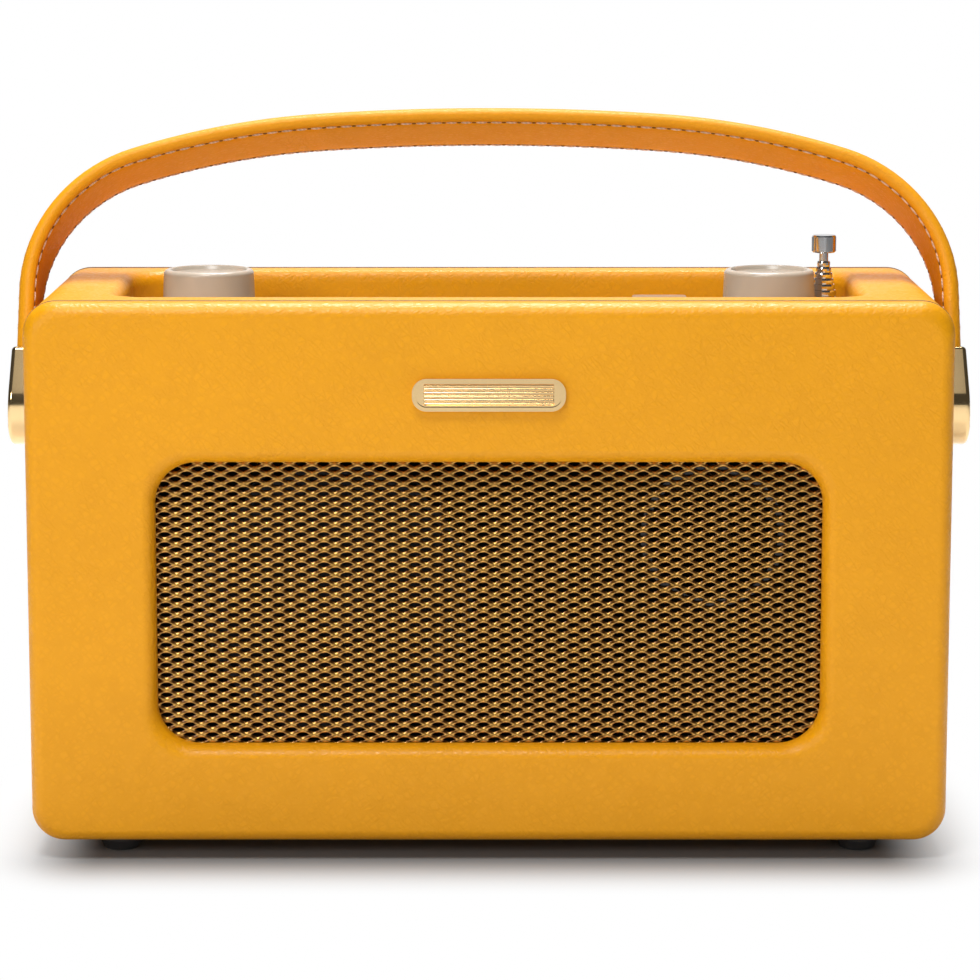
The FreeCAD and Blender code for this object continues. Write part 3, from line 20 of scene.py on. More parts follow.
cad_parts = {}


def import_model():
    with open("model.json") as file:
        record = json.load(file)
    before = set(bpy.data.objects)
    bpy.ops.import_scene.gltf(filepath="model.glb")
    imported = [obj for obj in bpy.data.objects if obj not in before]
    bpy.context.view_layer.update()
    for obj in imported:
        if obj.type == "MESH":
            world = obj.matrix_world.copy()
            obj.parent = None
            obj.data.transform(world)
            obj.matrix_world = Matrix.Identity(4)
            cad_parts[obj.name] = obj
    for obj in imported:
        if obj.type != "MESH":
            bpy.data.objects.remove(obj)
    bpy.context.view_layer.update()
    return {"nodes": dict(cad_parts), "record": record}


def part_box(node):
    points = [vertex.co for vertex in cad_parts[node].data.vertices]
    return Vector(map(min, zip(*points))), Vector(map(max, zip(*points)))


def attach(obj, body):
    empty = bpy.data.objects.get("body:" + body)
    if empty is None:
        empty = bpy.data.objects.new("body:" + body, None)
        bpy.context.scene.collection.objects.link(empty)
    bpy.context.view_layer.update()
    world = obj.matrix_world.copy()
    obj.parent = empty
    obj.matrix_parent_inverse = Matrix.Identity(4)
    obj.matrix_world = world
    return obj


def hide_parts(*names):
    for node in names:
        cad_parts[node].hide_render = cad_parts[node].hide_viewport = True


LOG = logging.getLogger("radio")
MM = 0.001
Colour = tuple[float, float, float]
FaceTest = Callable[[bmesh.types.BMFace], bool]
EdgeTest = Callable[[bmesh.types.BMEdge], bool]
VertTest = Callable[[bmesh.types.BMVert], bool]


class Axis(Enum):
    """The three directions of the frame."""

    X = 0
    Y = 1
    Z = 2

    @property
    def vector(self) -> Vector:
        """The unit vector along the axis."""
        return Vector([float(self.value == index) for index in range(3)])

    @property
    def turn(self) -> tuple[float, float, float]:
        """The rotation that lays a primitive's own Z along the axis."""
        quarter = math.pi / 2
        return (quarter * (self is Axis.Y), quarter * (self is Axis.X), 0.0)


def at(across: float, back: float, up: float) -> Vector:
    """A place or a size given in millimetres."""
    return Vector((across, back, up)) * MM


def placed(across: float, back: float, up: float) -> Vector:
    """A dataclass field whose default is a place given in millimetres."""
    return field(default_factory=lambda: at(across, back, up))


# ---------------------------------------------------------------- modelling by hand


def pull(offset: Vector | tuple[float, float, float]) -> None:
    """Extrudes what is selected in edit mode and moves the new end."""
    bpy.ops.mesh.extrude_region_move(TRANSFORM_OT_translate={"value": offset})


def bridge_outlines() -> None:
    """Leaves only the strip between two flat outlines, both selected in edit mode."""
    bpy.ops.mesh.delete(type="ONLY_FACE")
    bpy.ops.mesh.select_all(action="SELECT")
    bpy.ops.mesh.bridge_edge_loops()


def face_outwards() -> None:
    """Makes all faces of the piece in edit mode point outwards."""
    bpy.ops.mesh.select_all(action="SELECT")
    bpy.ops.mesh.normals_make_consistent(inside=False)


class Bench:
    """A piece on the bench: one mesh object, shaped with edit mode's own operators."""

    def __init__(self, name: str) -> None:
        """Takes the primitive that was just added and gives it a name.

        Args:
            name: the piece's name, for its object and its mesh.
        """
        self.object: bpy.types.Object = bpy.context.active_object
        self.object.name = name
        self.object.data.name = name

    def hold(self) -> None:
        """Selects this piece alone, so that the next operator acts on it only."""
        bpy.ops.object.select_all(action="DESELECT")
        self.object.select_set(True)
        bpy.context.view_layer.objects.active = self.object

    @classmethod
    def block(cls, name: str, low: Vector, high: Vector) -> Bench:
        """A cube primitive stretched between two corners.

        Args:
            name: the piece's name.
            low: the lowest corner.
            high: the highest corner.

        Returns:
            The piece on the bench.
        """
        bpy.ops.mesh.primitive_cube_add(size=1, location=(low + high) / 2, scale=high - low)
        piece = cls(name)
        piece.settle()
        return piece

    @classmethod
    def rod(cls, name: str, radius: float, length: float, centre: Vector, axis: Axis = Axis.Z,
            sides: int = 48) -> Bench:
        """A cylinder primitive along one axis, round its centre."""
        bpy.ops.mesh.primitive_cylinder_add(vertices=sides, radius=radius, depth=length,
                                            location=centre, rotation=axis.turn)
        piece = cls(name)
        piece.settle()
        return piece

    @classmethod
    def bead(cls, name: str, size: tuple[float, float, float]) -> Bench:
        """An egg-shaped bead round the origin.

        Args:
            name: the piece's name.
            size: its length, width and thickness.

        Returns:
            The piece.
        """
        bpy.ops.mesh.primitive_uv_sphere_add(segments=8, ring_count=6, radius=0.5,
                                             rotation=Axis.X.turn)
        piece = cls(name)
        piece.settle()
        piece.object.scale = size
        piece.settle()
        return piece

    @classmethod
    def outline(cls, name: str, points: list[Vector]) -> Bench:
        """An open line of vertices, extruded point by point from a single vertex.

        Args:
            name: the piece's name.
            points: the line's points in order.

        Returns:
            The piece on the bench.
        """
        bpy.ops.mesh.primitive_plane_add(size=MM, location=points[0])
        piece = cls(name)
        piece.settle()
        with piece.edit():
            bpy.ops.mesh.select_mode(type="VERT")
            bpy.ops.mesh.merge(type="CENTER")
            for start, end in zip(points, points[1:]):
                pull(end - start)
        return piece

    @classmethod
    def panel(cls, name: str, low: Vector, high: Vector, corner: float = 0.0, steps: int = 8,
              axis: Axis = Axis.Y) -> Bench:
        """A flat rectangle across an axis, at the low corner's place along it.

        Args:
            name: the piece's name.
            low: the lowest corner.
            high: the highest corner.
            corner: the radius of its corners, or 0 for square ones.
            steps: how many segments each round corner has.
            axis: the axis that it lies across.

        Returns:
            The piece on the bench, with one face.
        """
        bpy.ops.mesh.primitive_plane_add(size=1, rotation=axis.turn)
        piece = cls(name)
        piece.settle()
        size, place = high - low, (high + low) / 2
        size[axis.value], place[axis.value] = 1.0, low[axis.value]
        piece.object.scale, piece.object.location = size, place
        piece.settle()
        if corner:
            with piece.edit():
                bpy.ops.mesh.bevel(affect="VERTICES", offset=corner, segments=steps)
        return piece

    def extrude(self, offset: Vector) -> None:
        """Draws the whole flat piece out into a closed solid."""
        with self.edit():
            pull(offset)
            face_outwards()

    def copy(self, name: str, matrix: Matrix) -> Bench:
        """A copy of the piece, moved by a matrix."""
        self.hold()
        bpy.ops.object.duplicate()
        twin = Bench(name)
        twin.turn(matrix)
        return twin

    def settle(self) -> None:
        """Applies the object's place to its mesh, so that the object sits at the origin."""
        self.hold()
        bpy.ops.object.transform_apply(location=True, rotation=True, scale=True)

    @contextmanager
    def edit(self) -> Iterator[None]:
        """Edit mode for as long as the block lasts, with everything selected at first."""
        self.hold()
        bpy.ops.object.mode_set(mode="EDIT")
        bpy.ops.mesh.select_all(action="SELECT")
        try:
            yield
        finally:
            bpy.ops.object.mode_set(mode="OBJECT")

    def _pick(self, mode: str, kind: str, test: Callable) -> int:
        """Selects only the elements of one kind that pass a test, in edit mode."""
        bpy.ops.mesh.select_mode(type=mode)
        bpy.ops.mesh.select_all(action="DESELECT")
        mesh = bmesh.from_edit_mesh(self.object.data)
        found = [element for element in getattr(mesh, kind) if test(element)]
        for element in found:
            element.select_set(True)
        mesh.select_flush_mode()
        bmesh.update_edit_mesh(self.object.data)
        return len(found)

    def faces(self, test: FaceTest) -> int:
        """Selects the faces that pass a test and says how many there are."""
        return self._pick("FACE", "faces", test)

    def edges(self, test: EdgeTest) -> int:
        """Selects the edges that pass a test and says how many there are."""
        return self._pick("EDGE", "edges", test)

    def verts(self, test: VertTest) -> int:
        """Selects the vertices that pass a test and says how many there are."""
        return self._pick("VERT", "verts", test)

    def bevel(self, width: float, segments: int, test: EdgeTest) -> None:
        """Rounds the edges that pass a test."""
        with self.edit():
            if self.edges(test):
                bpy.ops.mesh.bevel(offset=width, segments=segments, clamp_overlap=True)

    def modify(self, kind: str, **settings: object) -> None:
        """Adds a modifier with its settings and applies it.

        Args:
            kind: the modifier's type.
            settings: what it is set to.
        """
        self.hold()
        modifier = self.object.modifiers.new(kind.lower(), kind)
        for key, setting in settings.items():
            setattr(modifier, key, setting)
        bpy.ops.object.modifier_apply(modifier=modifier.name)

    def merge(self, reach: float = 0.01 * MM) -> None:
        """Merges vertices that lie on each other and makes all faces point outwards."""
        with self.edit():
            bpy.ops.mesh.remove_doubles(threshold=reach)
            face_outwards()

    def smooth(self, angle: float = 40.0, weighted: bool = True) -> None:
        """Shades the piece smooth up to an angle in degrees."""
        self.hold()
        bpy.ops.object.shade_smooth_by_angle(angle=math.radians(angle))
        if weighted:
            self.modify("WEIGHTED_NORMAL", keep_sharp=True, weight=50)

    def turn(self, matrix: Matrix) -> None:
        """Moves the whole mesh by a matrix, with its object still at the origin."""
        self.object.matrix_world = matrix
        self.settle()

    def carve(self, tool: Bench) -> None:
        """Takes another piece's form out of this one and throws that piece away."""
        self.modify("BOOLEAN", operation="DIFFERENCE", solver="EXACT", object=tool.object)
        tool.discard()

    def discard(self) -> None:
        """Removes the piece and its mesh."""
        mesh = self.object.data
        bpy.data.objects.remove(self.object)
        bpy.data.meshes.remove(mesh)

    def take(self, others: list[Bench]) -> None:
        """Joins other pieces into this one."""
        self.hold()
        for other in others:
            other.object.select_set(True)
        bpy.ops.object.join()

    def finish(self, body: str, finish: Finish, nodes: tuple[str, ...] = ()) -> bpy.types.Object:
        """Gives the piece its material and its body, and the CAD nodes that it stands for.

        Args:
            body: the CAD body that it rides on.
            finish: what it is made of.
            nodes: the CAD nodes that it replaces.

        Returns:
            The finished object.
        """
        self.object.data.materials.clear()
        self.object.data.materials.append(finish.material())
        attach(self.object, body)
        if nodes:
            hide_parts(*nodes)
        LOG.info("%s: %d faces", self.object.name, len(self.object.data.polygons))
        return self.object


def facing(direction: Vector, limit: float = 0.95) -> FaceTest:
    """A test for faces whose normal points in a direction."""
    return lambda face: face.normal.dot(direction) > limit


def lies_at(axis: Axis, place: float, reach: float = 0.02 * MM) -> EdgeTest:
    """A test for edges that lie in one plane across an axis."""
    return lambda edge: all(abs(v.co[axis.value] - place) < reach for v in edge.verts)


# ---------------------------------------------------------------- node graphs


class Graph:
    """A node tree being wired."""

    def __init__(self, tree: bpy.types.NodeTree) -> None:
        """Starts on a tree.

        Args:
            tree: a material's node tree or a node group.
        """
        self.tree = tree

    def add(self, kind: str, **inputs: object) -> bpy.types.Node:
        """Adds a node, sets its properties and fills or joins its inputs.

        Args:
            kind: the node's type without its prefix.
            inputs: values or output sockets by input name, with _ for a space. A name that is
                one of the node's own properties sets that property.

        Returns:
            The new node.
        """
        node = self.tree.nodes.new("ShaderNode" + kind)
        self.fill(node, **inputs)
        return node

    def fill(self, node: bpy.types.Node, **inputs: object) -> None:
        """Sets a node's properties and fills or joins its inputs, named as in add."""
        for key, given in inputs.items():
            if hasattr(node, key):
                setattr(node, key, given)
                continue
            socket = self._socket(node, key)
            if isinstance(given, bpy.types.NodeSocket):
                self.tree.links.new(given, socket)
            else:
                socket.default_value = given

    @staticmethod
    def _socket(node: bpy.types.Node, key: str) -> bpy.types.NodeSocket:
        """Finds an input by its name, or by its number after the letter i."""
        if key[0] == "i" and key[1:].isdigit():
            return node.inputs[int(key[1:])]
        wanted = key.replace("_", " ").lower()
        for socket in node.inputs:
            if socket.name.lower() == wanted and socket.enabled:
                return socket
        raise KeyError(f"{node.bl_idname} has no input {key}")

    def maths(self, operation: str, *values: object) -> bpy.types.NodeSocket:
        """One sum on up to three values or sockets."""
        node = self.add("Math", operation=operation,
                        **{f"i{index}": given for index, given in enumerate(values)})
        return node.outputs[0]

    def vectors(self, operation: str, *values: object) -> bpy.types.NodeSocket:
        """One sum on vectors; the amount of a SCALE comes second."""
        name = "Scale" if operation == "SCALE" else "i1"
        node = self.add("VectorMath", operation=operation, i0=values[0],
                        **{name: given for given in values[1:]})
        return node.outputs["Value" if operation == "LENGTH" else "Vector"]

    def remap(self, given: bpy.types.NodeSocket, low: float, high: float, new_low: float = 0.0,
              new_high: float = 1.0) -> bpy.types.NodeSocket:
        """A value taken softly from one range to another, clamped."""
        node = self.add("MapRange", interpolation_type="SMOOTHSTEP", Value=given, From_Min=low,
                        From_Max=high, To_Min=new_low, To_Max=new_high)
        return node.outputs[0]

    def blend(self, amount: object, first: object, second: object) -> bpy.types.NodeSocket:
        """Two colours mixed by an amount."""
        node = self.add("Mix", data_type="RGBA")
        for index, given in ((0, amount), (6, first), (7, second)):
            if isinstance(given, bpy.types.NodeSocket):
                self.tree.links.new(given, node.inputs[index])
            elif index:
                node.inputs[index].default_value = (*given, 1.0)
            else:
                node.inputs[index].default_value = given
        return node.outputs[2]

    def noise(self, vector: bpy.types.NodeSocket, scale: object, detail: float = 2.0,
              roughness: float = 0.5) -> bpy.types.Node:
        """A noise texture on the given coordinates."""
        return self.add("TexNoise", Vector=vector, Scale=scale, Detail=detail,
                        Roughness=roughness)

    def cells(self, vector: bpy.types.NodeSocket, scale: object) -> bpy.types.NodeSocket:
        """The distance to the nearest edge in a cell pattern on the given coordinates."""
        return self.add("TexVoronoi", feature="DISTANCE_TO_EDGE", Vector=vector,
                        Scale=scale).outputs["Distance"]

    def place(self) -> bpy.types.NodeSocket:
        """The piece's own coordinates in metres."""
        return self.add("TexCoord").outputs["Object"]

    def bump(self, height: bpy.types.NodeSocket, depth: float) -> bpy.types.NodeSocket:
        """A normal from a height, with its depth in metres."""
        return self.add("Bump", Strength=1.0, Distance=depth, Height=height).outputs[0]


def group(name: str, inputs: dict[str, tuple[str, float]], outputs: dict[str, str],
          wire: Callable[[Graph, bpy.types.Node, bpy.types.Node], None]) -> bpy.types.NodeTree:
    """Builds a shader node group once and hands it out after that.

    Args:
        name: the group's name.
        inputs: each input's socket type and default.
        outputs: each output's socket type.
        wire: joins the group's inside between its input and output nodes.

    Returns:
        The group's tree.
    """
    if name in bpy.data.node_groups:
        return bpy.data.node_groups[name]
    tree = bpy.data.node_groups.new(name, "ShaderNodeTree")
    for label, (kind, default) in inputs.items():
        socket = tree.interface.new_socket(label, in_out="INPUT", socket_type=kind)
        if kind == "NodeSocketFloat":
            socket.default_value = default
    for label, kind in outputs.items():
        tree.interface.new_socket(label, in_out="OUTPUT", socket_type=kind)
    wire(Graph(tree), tree.nodes.new("NodeGroupInput"), tree.nodes.new("NodeGroupOutput"))
    return tree


def wire_pebble(graph: Graph, given: bpy.types.Node, made: bpy.types.Node) -> None:
    """Embossed leather grain: fine crooked creases that come and go over soft pebbles."""
    wander, crease, fine, fade, swell = 0.7, 0.75, 1.9, 0.3, 0.8
    slants, stretch = (-38, 47), (2.1, 1.0, 0.9)
    crease_width, fine_width = 0.22, 0.3
    crease_height, fine_height, swell_height = 0.45, 0.18, 0.3
    cell = given.outputs["Cell"]
    per_metre = graph.maths("DIVIDE", 1.0, cell)

    def scaled(share: float) -> bpy.types.NodeSocket:
        """The scale at which a pattern has this many cells along a pebble."""
        return graph.maths("MULTIPLY", per_metre, share)

    noise = graph.noise(given.outputs["Vector"], scaled(wander))
    shift = graph.vectors("SUBTRACT", noise.outputs["Color"], (0.5, 0.5, 0.5))
    pushed = graph.vectors("SCALE", shift, graph.maths("MULTIPLY", cell, wander))
    moved = graph.vectors("ADD", given.outputs["Vector"], pushed)
    grooves = []
    for slant in slants:
        slanted = graph.add("Mapping", vector_type="TEXTURE", Vector=moved,
                            Rotation=(0.0, math.radians(slant), 0.0), Scale=stretch).outputs[0]
        grooves.append(graph.remap(graph.cells(slanted, scaled(crease)), 0.0, crease_width))
    pores = graph.remap(graph.cells(moved, scaled(fine)), 0.0, fine_width)
    fading = graph.remap(graph.noise(moved, scaled(fade)).outputs["Fac"], 0.35, 0.65, 0.6)
    rise = graph.noise(moved, scaled(swell), 1.0).outputs["Fac"]
    lines = graph.maths("MULTIPLY", graph.maths("ADD", *grooves), crease_height)
    lines = graph.maths("ADD", lines, graph.maths("MULTIPLY", pores, fine_height))
    height = graph.maths("ADD", graph.maths("MULTIPLY", lines, fading),
                         graph.maths("MULTIPLY", rise, swell_height))
    deep = graph.maths("SUBTRACT", 1.0, graph.maths("MULTIPLY", *grooves))
    graph.fill(made, Height=height, Crease=graph.maths("MULTIPLY", deep, fading))


def wire_patches(graph: Graph, given: bpy.types.Node, made: bpy.types.Node) -> None:
    """Slow unevenness of a surface, and the specks of dust on it."""
    specks_per_patch = 40.0
    per_metre = graph.maths("DIVIDE", 1.0, given.outputs["Size"])
    slow = graph.noise(given.outputs["Vector"], per_metre, 3.0, 0.55)
    specks = graph.noise(given.outputs["Vector"],
                         graph.maths("MULTIPLY", per_metre, specks_per_patch), 1.0)
    graph.fill(made, Patch=graph.remap(slow.outputs["Fac"], 0.3, 0.7),
               Speck=graph.remap(specks.outputs["Fac"], 0.62, 0.75))


def wire_moulding(graph: Graph, given: bpy.types.Node, made: bpy.types.Node) -> None:
    """The fine spark-eroded texture of a moulded or cast surface."""
    broad_scale, broad_height = 0.15, 0.5
    per_metre = graph.maths("DIVIDE", 1.0, given.outputs["Size"])
    rough = graph.noise(given.outputs["Vector"], per_metre, 3.0, 0.65)
    broad = graph.noise(given.outputs["Vector"],
                        graph.maths("MULTIPLY", per_metre, broad_scale), 1.0)
    graph.fill(made, Height=graph.maths("MULTIPLY_ADD", broad.outputs["Fac"], broad_height,
                                        rough.outputs["Fac"]))


def wire_brushing(graph: Graph, given: bpy.types.Node, made: bpy.types.Node) -> None:
    """Fine parallel lines left by polishing or rolling, along X."""
    drawn_out = (0.05, 1.0, 1.0)
    stretch = graph.vectors("MULTIPLY", given.outputs["Vector"], drawn_out)
    per_metre = graph.maths("DIVIDE", 1.0, given.outputs["Size"])
    graph.fill(made, Height=graph.noise(stretch, per_metre, 4.0, 0.7).outputs["Fac"])


class Effect(Enum):
    """The surface effects that several finishes share."""

    PEBBLE = ("pebble_grain", "Cell", ("Height", "Crease"), wire_pebble)
    PATCHES = ("slow_patches", "Size", ("Patch", "Speck"), wire_patches)
    MOULDING = ("moulded_texture", "Size", ("Height",), wire_moulding)
    BRUSHING = ("brushed_lines", "Size", ("Height",), wire_brushing)

    def on(self, graph: Graph, size: float) -> bpy.types.Node:
        """Places the effect's group in a graph, on the piece's own coordinates.

        Args:
            graph: the material being wired.
            size: the length in metres that the effect's scale follows.

        Returns:
            The group node, whose outputs are values.
        """
        name, scale, outputs, wire = self.value
        tree = group(name, {"Vector": ("NodeSocketVector", 0.0), scale: ("NodeSocketFloat", size)},
                     {label: "NodeSocketFloat" for label in outputs}, wire)
        node = graph.tree.nodes.new("ShaderNodeGroup")
        node.node_tree = tree
        node.inputs[scale].default_value = size
        graph.fill(node, Vector=graph.place())
        return node


# ---------------------------------------------------------------- finishes


def shade(colour: Colour, share: float) -> Colour:
    """A colour made darker, or lighter up to white, by one share."""
    return tuple(min(1.0, channel * share) for channel in colour)


def blank_material(name: str) -> tuple[bpy.types.Material, Graph]:
    """A new material with an empty node tree, and the graph on that tree."""
    material = bpy.data.materials.new(name)
    material.use_nodes = True
    material.node_tree.nodes.clear()
    return material, Graph(material.node_tree)


@dataclass(frozen=True)
class Finish:
    """What a piece is made of, and the record's slot that this belongs to."""

    name: str
    slot: str
    colour: Colour
    roughness: float = 0.5
    metallic: float = 0.0
    specular: float = 0.5

    def material(self) -> bpy.types.Material:
        """The finish's material, built at its first use."""
        if self.name in bpy.data.materials:
            return bpy.data.materials[self.name]
        material, graph = blank_material(self.name)
        material.diffuse_color = (*self.colour, 1.0)
        shader = graph.add("BsdfPrincipled", Base_Color=(*self.colour, 1.0),
                           Roughness=self.roughness, Metallic=self.metallic,
                           Specular_IOR_Level=self.specular)
        self.wire(graph, shader)
        graph.add("OutputMaterial", Surface=shader.outputs[0])
        return material

    def wire(self, graph: Graph, shader: bpy.types.Node) -> None:
        """Adds the finish's own detail to its shader."""
        patch = Effect.PATCHES.on(graph, 30 * MM).outputs["Patch"]
        graph.fill(shader, Base_Color=graph.blend(patch, self.colour, shade(self.colour, 0.86)),
                   Roughness=graph.remap(patch, 0.0, 1.0, self.roughness,
                                         min(1.0, self.roughness * 1.15)))

    def dress(self, node: bpy.types.Object) -> None:
        """Puts the material on a CAD node that keeps its own shape."""
        if not node.material_slots:
            node.data.materials.append(None)
        for place in node.material_slots:
            place.material = self.material()


@dataclass(frozen=True)
class Leather(Finish):
    """Grained leather or leathercloth, embossed and softly glossy."""

    # painted shade: the colour in the creases
    crease_shade_colour: Colour = (0.62, 0.24, 0.006)
    crease_shade_share: float = 0.16
    crease_dullness: float = 0.16
    cell: float = 1.5 * MM
    depth: float = 0.09 * MM

    def wire(self, graph: Graph, shader: bpy.types.Node) -> None:
        """Creases dent the surface and dull the gloss, and darken the colour as painted shade."""
        grain = Effect.PEBBLE.on(graph, self.cell)
        crease = grain.outputs["Crease"]
        tone = graph.blend(Effect.PATCHES.on(graph, 50 * MM).outputs["Patch"], self.colour,
                           shade(self.colour, 1.04))
        # painted shade: the colour darkens in the creases
        amount = graph.maths("MULTIPLY", crease, self.crease_shade_share)
        graph.fill(shader, Base_Color=graph.blend(amount, tone, self.crease_shade_colour),
                   Roughness=graph.remap(crease, 0.0, 1.0, self.roughness,
                                         self.roughness + self.crease_dullness),
                   Normal=graph.bump(grain.outputs["Height"], self.depth))


@dataclass(frozen=True)
class Moulded(Finish):
    """Moulded plastic or rubber with a fine even texture."""

    texture: float = 0.35 * MM
    depth: float = 0.01 * MM

    def wire(self, graph: Graph, shader: bpy.types.Node) -> None:
        """A fine dented surface, a little uneven in tone and gloss."""
        Finish.wire(self, graph, shader)
        height = Effect.MOULDING.on(graph, self.texture).outputs["Height"]
        graph.fill(shader, Normal=graph.bump(height, self.depth))


@dataclass(frozen=True)
class Metal(Finish):
    """Plated or polished metal with very fine lines."""

    metallic: float = 1.0
    line: float = 0.25 * MM
    depth: float = 0.0015 * MM
    unevenness: float = 1.4

    def wire(self, graph: Graph, shader: bpy.types.Node) -> None:
        """Polishing lines bend the gloss a little, and slow patches vary it."""
        patches = Effect.PATCHES.on(graph, 12 * MM)
        height = Effect.BRUSHING.on(graph, self.line).outputs["Height"]
        graph.fill(shader, Base_Color=self.tone(graph, patches.outputs["Speck"]),
                   Roughness=graph.remap(patches.outputs["Patch"], 0.0, 1.0, self.roughness,
                                         self.roughness * self.unevenness),
                   Normal=graph.bump(height, self.depth))

    def tone(self, graph: Graph, speck: bpy.types.NodeSocket) -> bpy.types.NodeSocket:
        """The metal's colour, a little duller where a speck lies."""
        return graph.blend(speck, self.colour, shade(self.colour, 0.93))


@dataclass(frozen=True)
class SunkMetal(Metal):
    """Metal sheet under a clear lacquer, its colour darkened in the low places as painted shade."""

    # painted shade: the colour of the sheet's deepest places
    painted_shade_colour: Colour = (0.12, 0.042, 0.004)
    front: float = -46 * MM
    sunk: float = 0.6 * MM
    lacquer: float = 0.5

    def wire(self, graph: Graph, shader: bpy.types.Node) -> None:
        """A clear lacquer lies over the metal."""
        Metal.wire(self, graph, shader)
        graph.fill(shader, Coat_Weight=self.lacquer, Coat_Roughness=self.roughness / 2)

    def tone(self, graph: Graph, speck: bpy.types.NodeSocket) -> bpy.types.NodeSocket:
        """The colour darkens with the depth behind the sheet's front, as painted shade in the low
        places.
        """
        back = graph.add("SeparateXYZ", Vector=graph.place()).outputs["Y"]
        # painted shade: deeper places take the dark colour
        depth = graph.remap(back, self.front, self.front + self.sunk)
        return graph.blend(depth, Metal.tone(self, graph, speck), self.painted_shade_colour)


@dataclass(frozen=True)
class Board(Finish):
    """Fibreboard, paper or painted board, with short fibres showing."""

    fibre: float = 0.6 * MM
    depth: float = 0.03 * MM

    def wire(self, graph: Graph, shader: bpy.types.Node) -> None:
        """Stretched fibres vary the tone and raise the surface."""
        height = Effect.BRUSHING.on(graph, self.fibre).outputs["Height"]
        graph.fill(shader, Base_Color=graph.blend(height, shade(self.colour, 0.7), self.colour),
                   Normal=graph.bump(height, self.depth))


@dataclass(frozen=True)
class Glass(Finish):
    """A smoked window: dark, glossy and nearly opaque."""

    def wire(self, graph: Graph, shader: bpy.types.Node) -> None:
        """Only its gloss is uneven, by faint wiping marks."""
        marks = Effect.PATCHES.on(graph, 20 * MM).outputs["Patch"]
        graph.fill(shader, Roughness=graph.remap(marks, 0.0, 1.0, self.roughness,
                                                 self.roughness + 0.05))


@dataclass(frozen=True)
class Thread(Finish):
    """Waxed sewing thread, twisted."""

    twist: float = 2.1 * MM
    ply_height: float = 0.05 * MM

    def wire(self, graph: Graph, shader: bpy.types.Node) -> None:
        """Slanting plies across each stitch."""
        ply = graph.add("TexWave", wave_type="BANDS", bands_direction="DIAGONAL",
                        Vector=graph.place(), Scale=1.0 / self.twist,
                        Distortion=1.0).outputs["Fac"]
        graph.fill(shader, Base_Color=graph.blend(ply, shade(self.colour, 0.72), self.colour),
                   Normal=graph.bump(ply, self.ply_height))


COVER = Leather("leathercloth_amber", "leathercloth", (0.86, 0.365, 0.003), 0.32, specular=0.34)
STRAP = Leather("strap_leather_amber", "strap_leather", (0.86, 0.350, 0.004), 0.40, specular=0.3,
                cell=1.3 * MM, depth=0.07 * MM)
LINING = Leather("lining_leather_orange", "strap_leather", (0.84, 0.34, 0.002), 0.5,
                 specular=0.08, cell=1.3 * MM, depth=0.09 * MM)
THREAD = Thread("strap_thread", "strap_leather", (0.86, 0.60, 0.42), 0.6)
# dark beads at the needle holes: painted shade in the holes
HOLE_SHADE = Moulded("needle_hole_shade", "strap_leather", (0.26, 0.09, 0.015), 0.7)
# the board's brown in the joints, darkened as painted shade of the gaps
SEAM_SHADE = Moulded("seam_gap_shade", "cabinet_board", (0.26, 0.165, 0.10), 0.5)
GOLD = Metal("champagne_gold", "gold_metal", (0.90, 0.64, 0.32), 0.10)
GRILLE = SunkMetal("grille_gold", "grille_metal", (0.86, 0.46, 0.10), 0.32, line=0.1 * MM,
                   depth=0.003 * MM, unevenness=1.08)
CHROME = Metal("aerial_chrome", "aerial_chrome", (0.86, 0.87, 0.89), 0.06)
STEEL = Metal("pivot_steel", "pivot_steel", (0.60, 0.60, 0.60), 0.28)
KNOB = Moulded("knob_beige", "knob_plastic", (0.56, 0.48, 0.385), 0.24)
KEY = Moulded("key_beige", "key_plastic", (0.58, 0.45, 0.335), 0.36)

FINISHES: tuple[Finish, ...] = (
    COVER, STRAP, GOLD, GRILLE, CHROME, STEEL, KNOB, KEY,
    Board("sleeve_board", "cabinet_board", (0.42, 0.29, 0.18), 0.85),
    # black board, darkened beyond any paint as painted shade behind the grille
    Board("baffle_black_shade", "baffle_board", (0.004, 0.0036, 0.0032), 0.95, specular=0.02),
    Board("cone_pulp", "cone_paper", (0.012, 0.011, 0.01), 0.75, fibre=0.3 * MM),
    Moulded("port_black", "port_plastic", (0.02, 0.02, 0.02), 0.45),
    Moulded("surround_black", "surround_rubber", (0.008, 0.008, 0.008), 0.5),
    Moulded("basket_black", "speaker_steel", (0.012, 0.012, 0.013), 0.5),
    Moulded("magnet_dark", "magnet_steel", (0.09, 0.09, 0.095), 0.55, 0.6),
    Metal("screw_plated", "screw_steel", (0.60, 0.60, 0.58), 0.3),
    Moulded("panel_beige", "panel_plastic", (0.48, 0.385, 0.29), 0.42),
    Glass("display_smoked", "display_glass", (0.012, 0.012, 0.014), 0.06),
    Moulded("display_case", "display_black", (0.015, 0.015, 0.016), 0.5),
    Moulded("circuit_green", "circuit_board", (0.02, 0.14, 0.06), 0.35),
    Metal("encoder_zinc", "encoder_metal", (0.62, 0.62, 0.60), 0.32),
    Moulded("rotor_black", "rotor_plastic", (0.03, 0.03, 0.03), 0.5),
    Moulded("bay_black", "battery_plastic", (0.022, 0.022, 0.023), 0.48),
    Moulded("door_black", "door_plastic", (0.022, 0.022, 0.023), 0.48),
    Metal("contact_nickel", "contact_metal", (0.72, 0.70, 0.66), 0.25),
    Moulded("socket_black", "socket_plastic", (0.02, 0.02, 0.021), 0.42),
    Moulded("foot_black", "foot_rubber", (0.05, 0.05, 0.05), 0.35),
)


# ---------------------------------------------------------------- cabinet


def turns_corner(edge: bmesh.types.BMEdge, limit: float = 0.5) -> bool:
    """Whether the two faces at an edge point in clearly different directions."""
    faces = edge.link_faces
    return len(faces) == 2 and faces[0].normal.dot(faces[1].normal) < limit


def middle(edge: bmesh.types.BMEdge) -> Vector:
    """The point halfway along an edge."""
    return (edge.verts[0].co + edge.verts[1].co) / 2


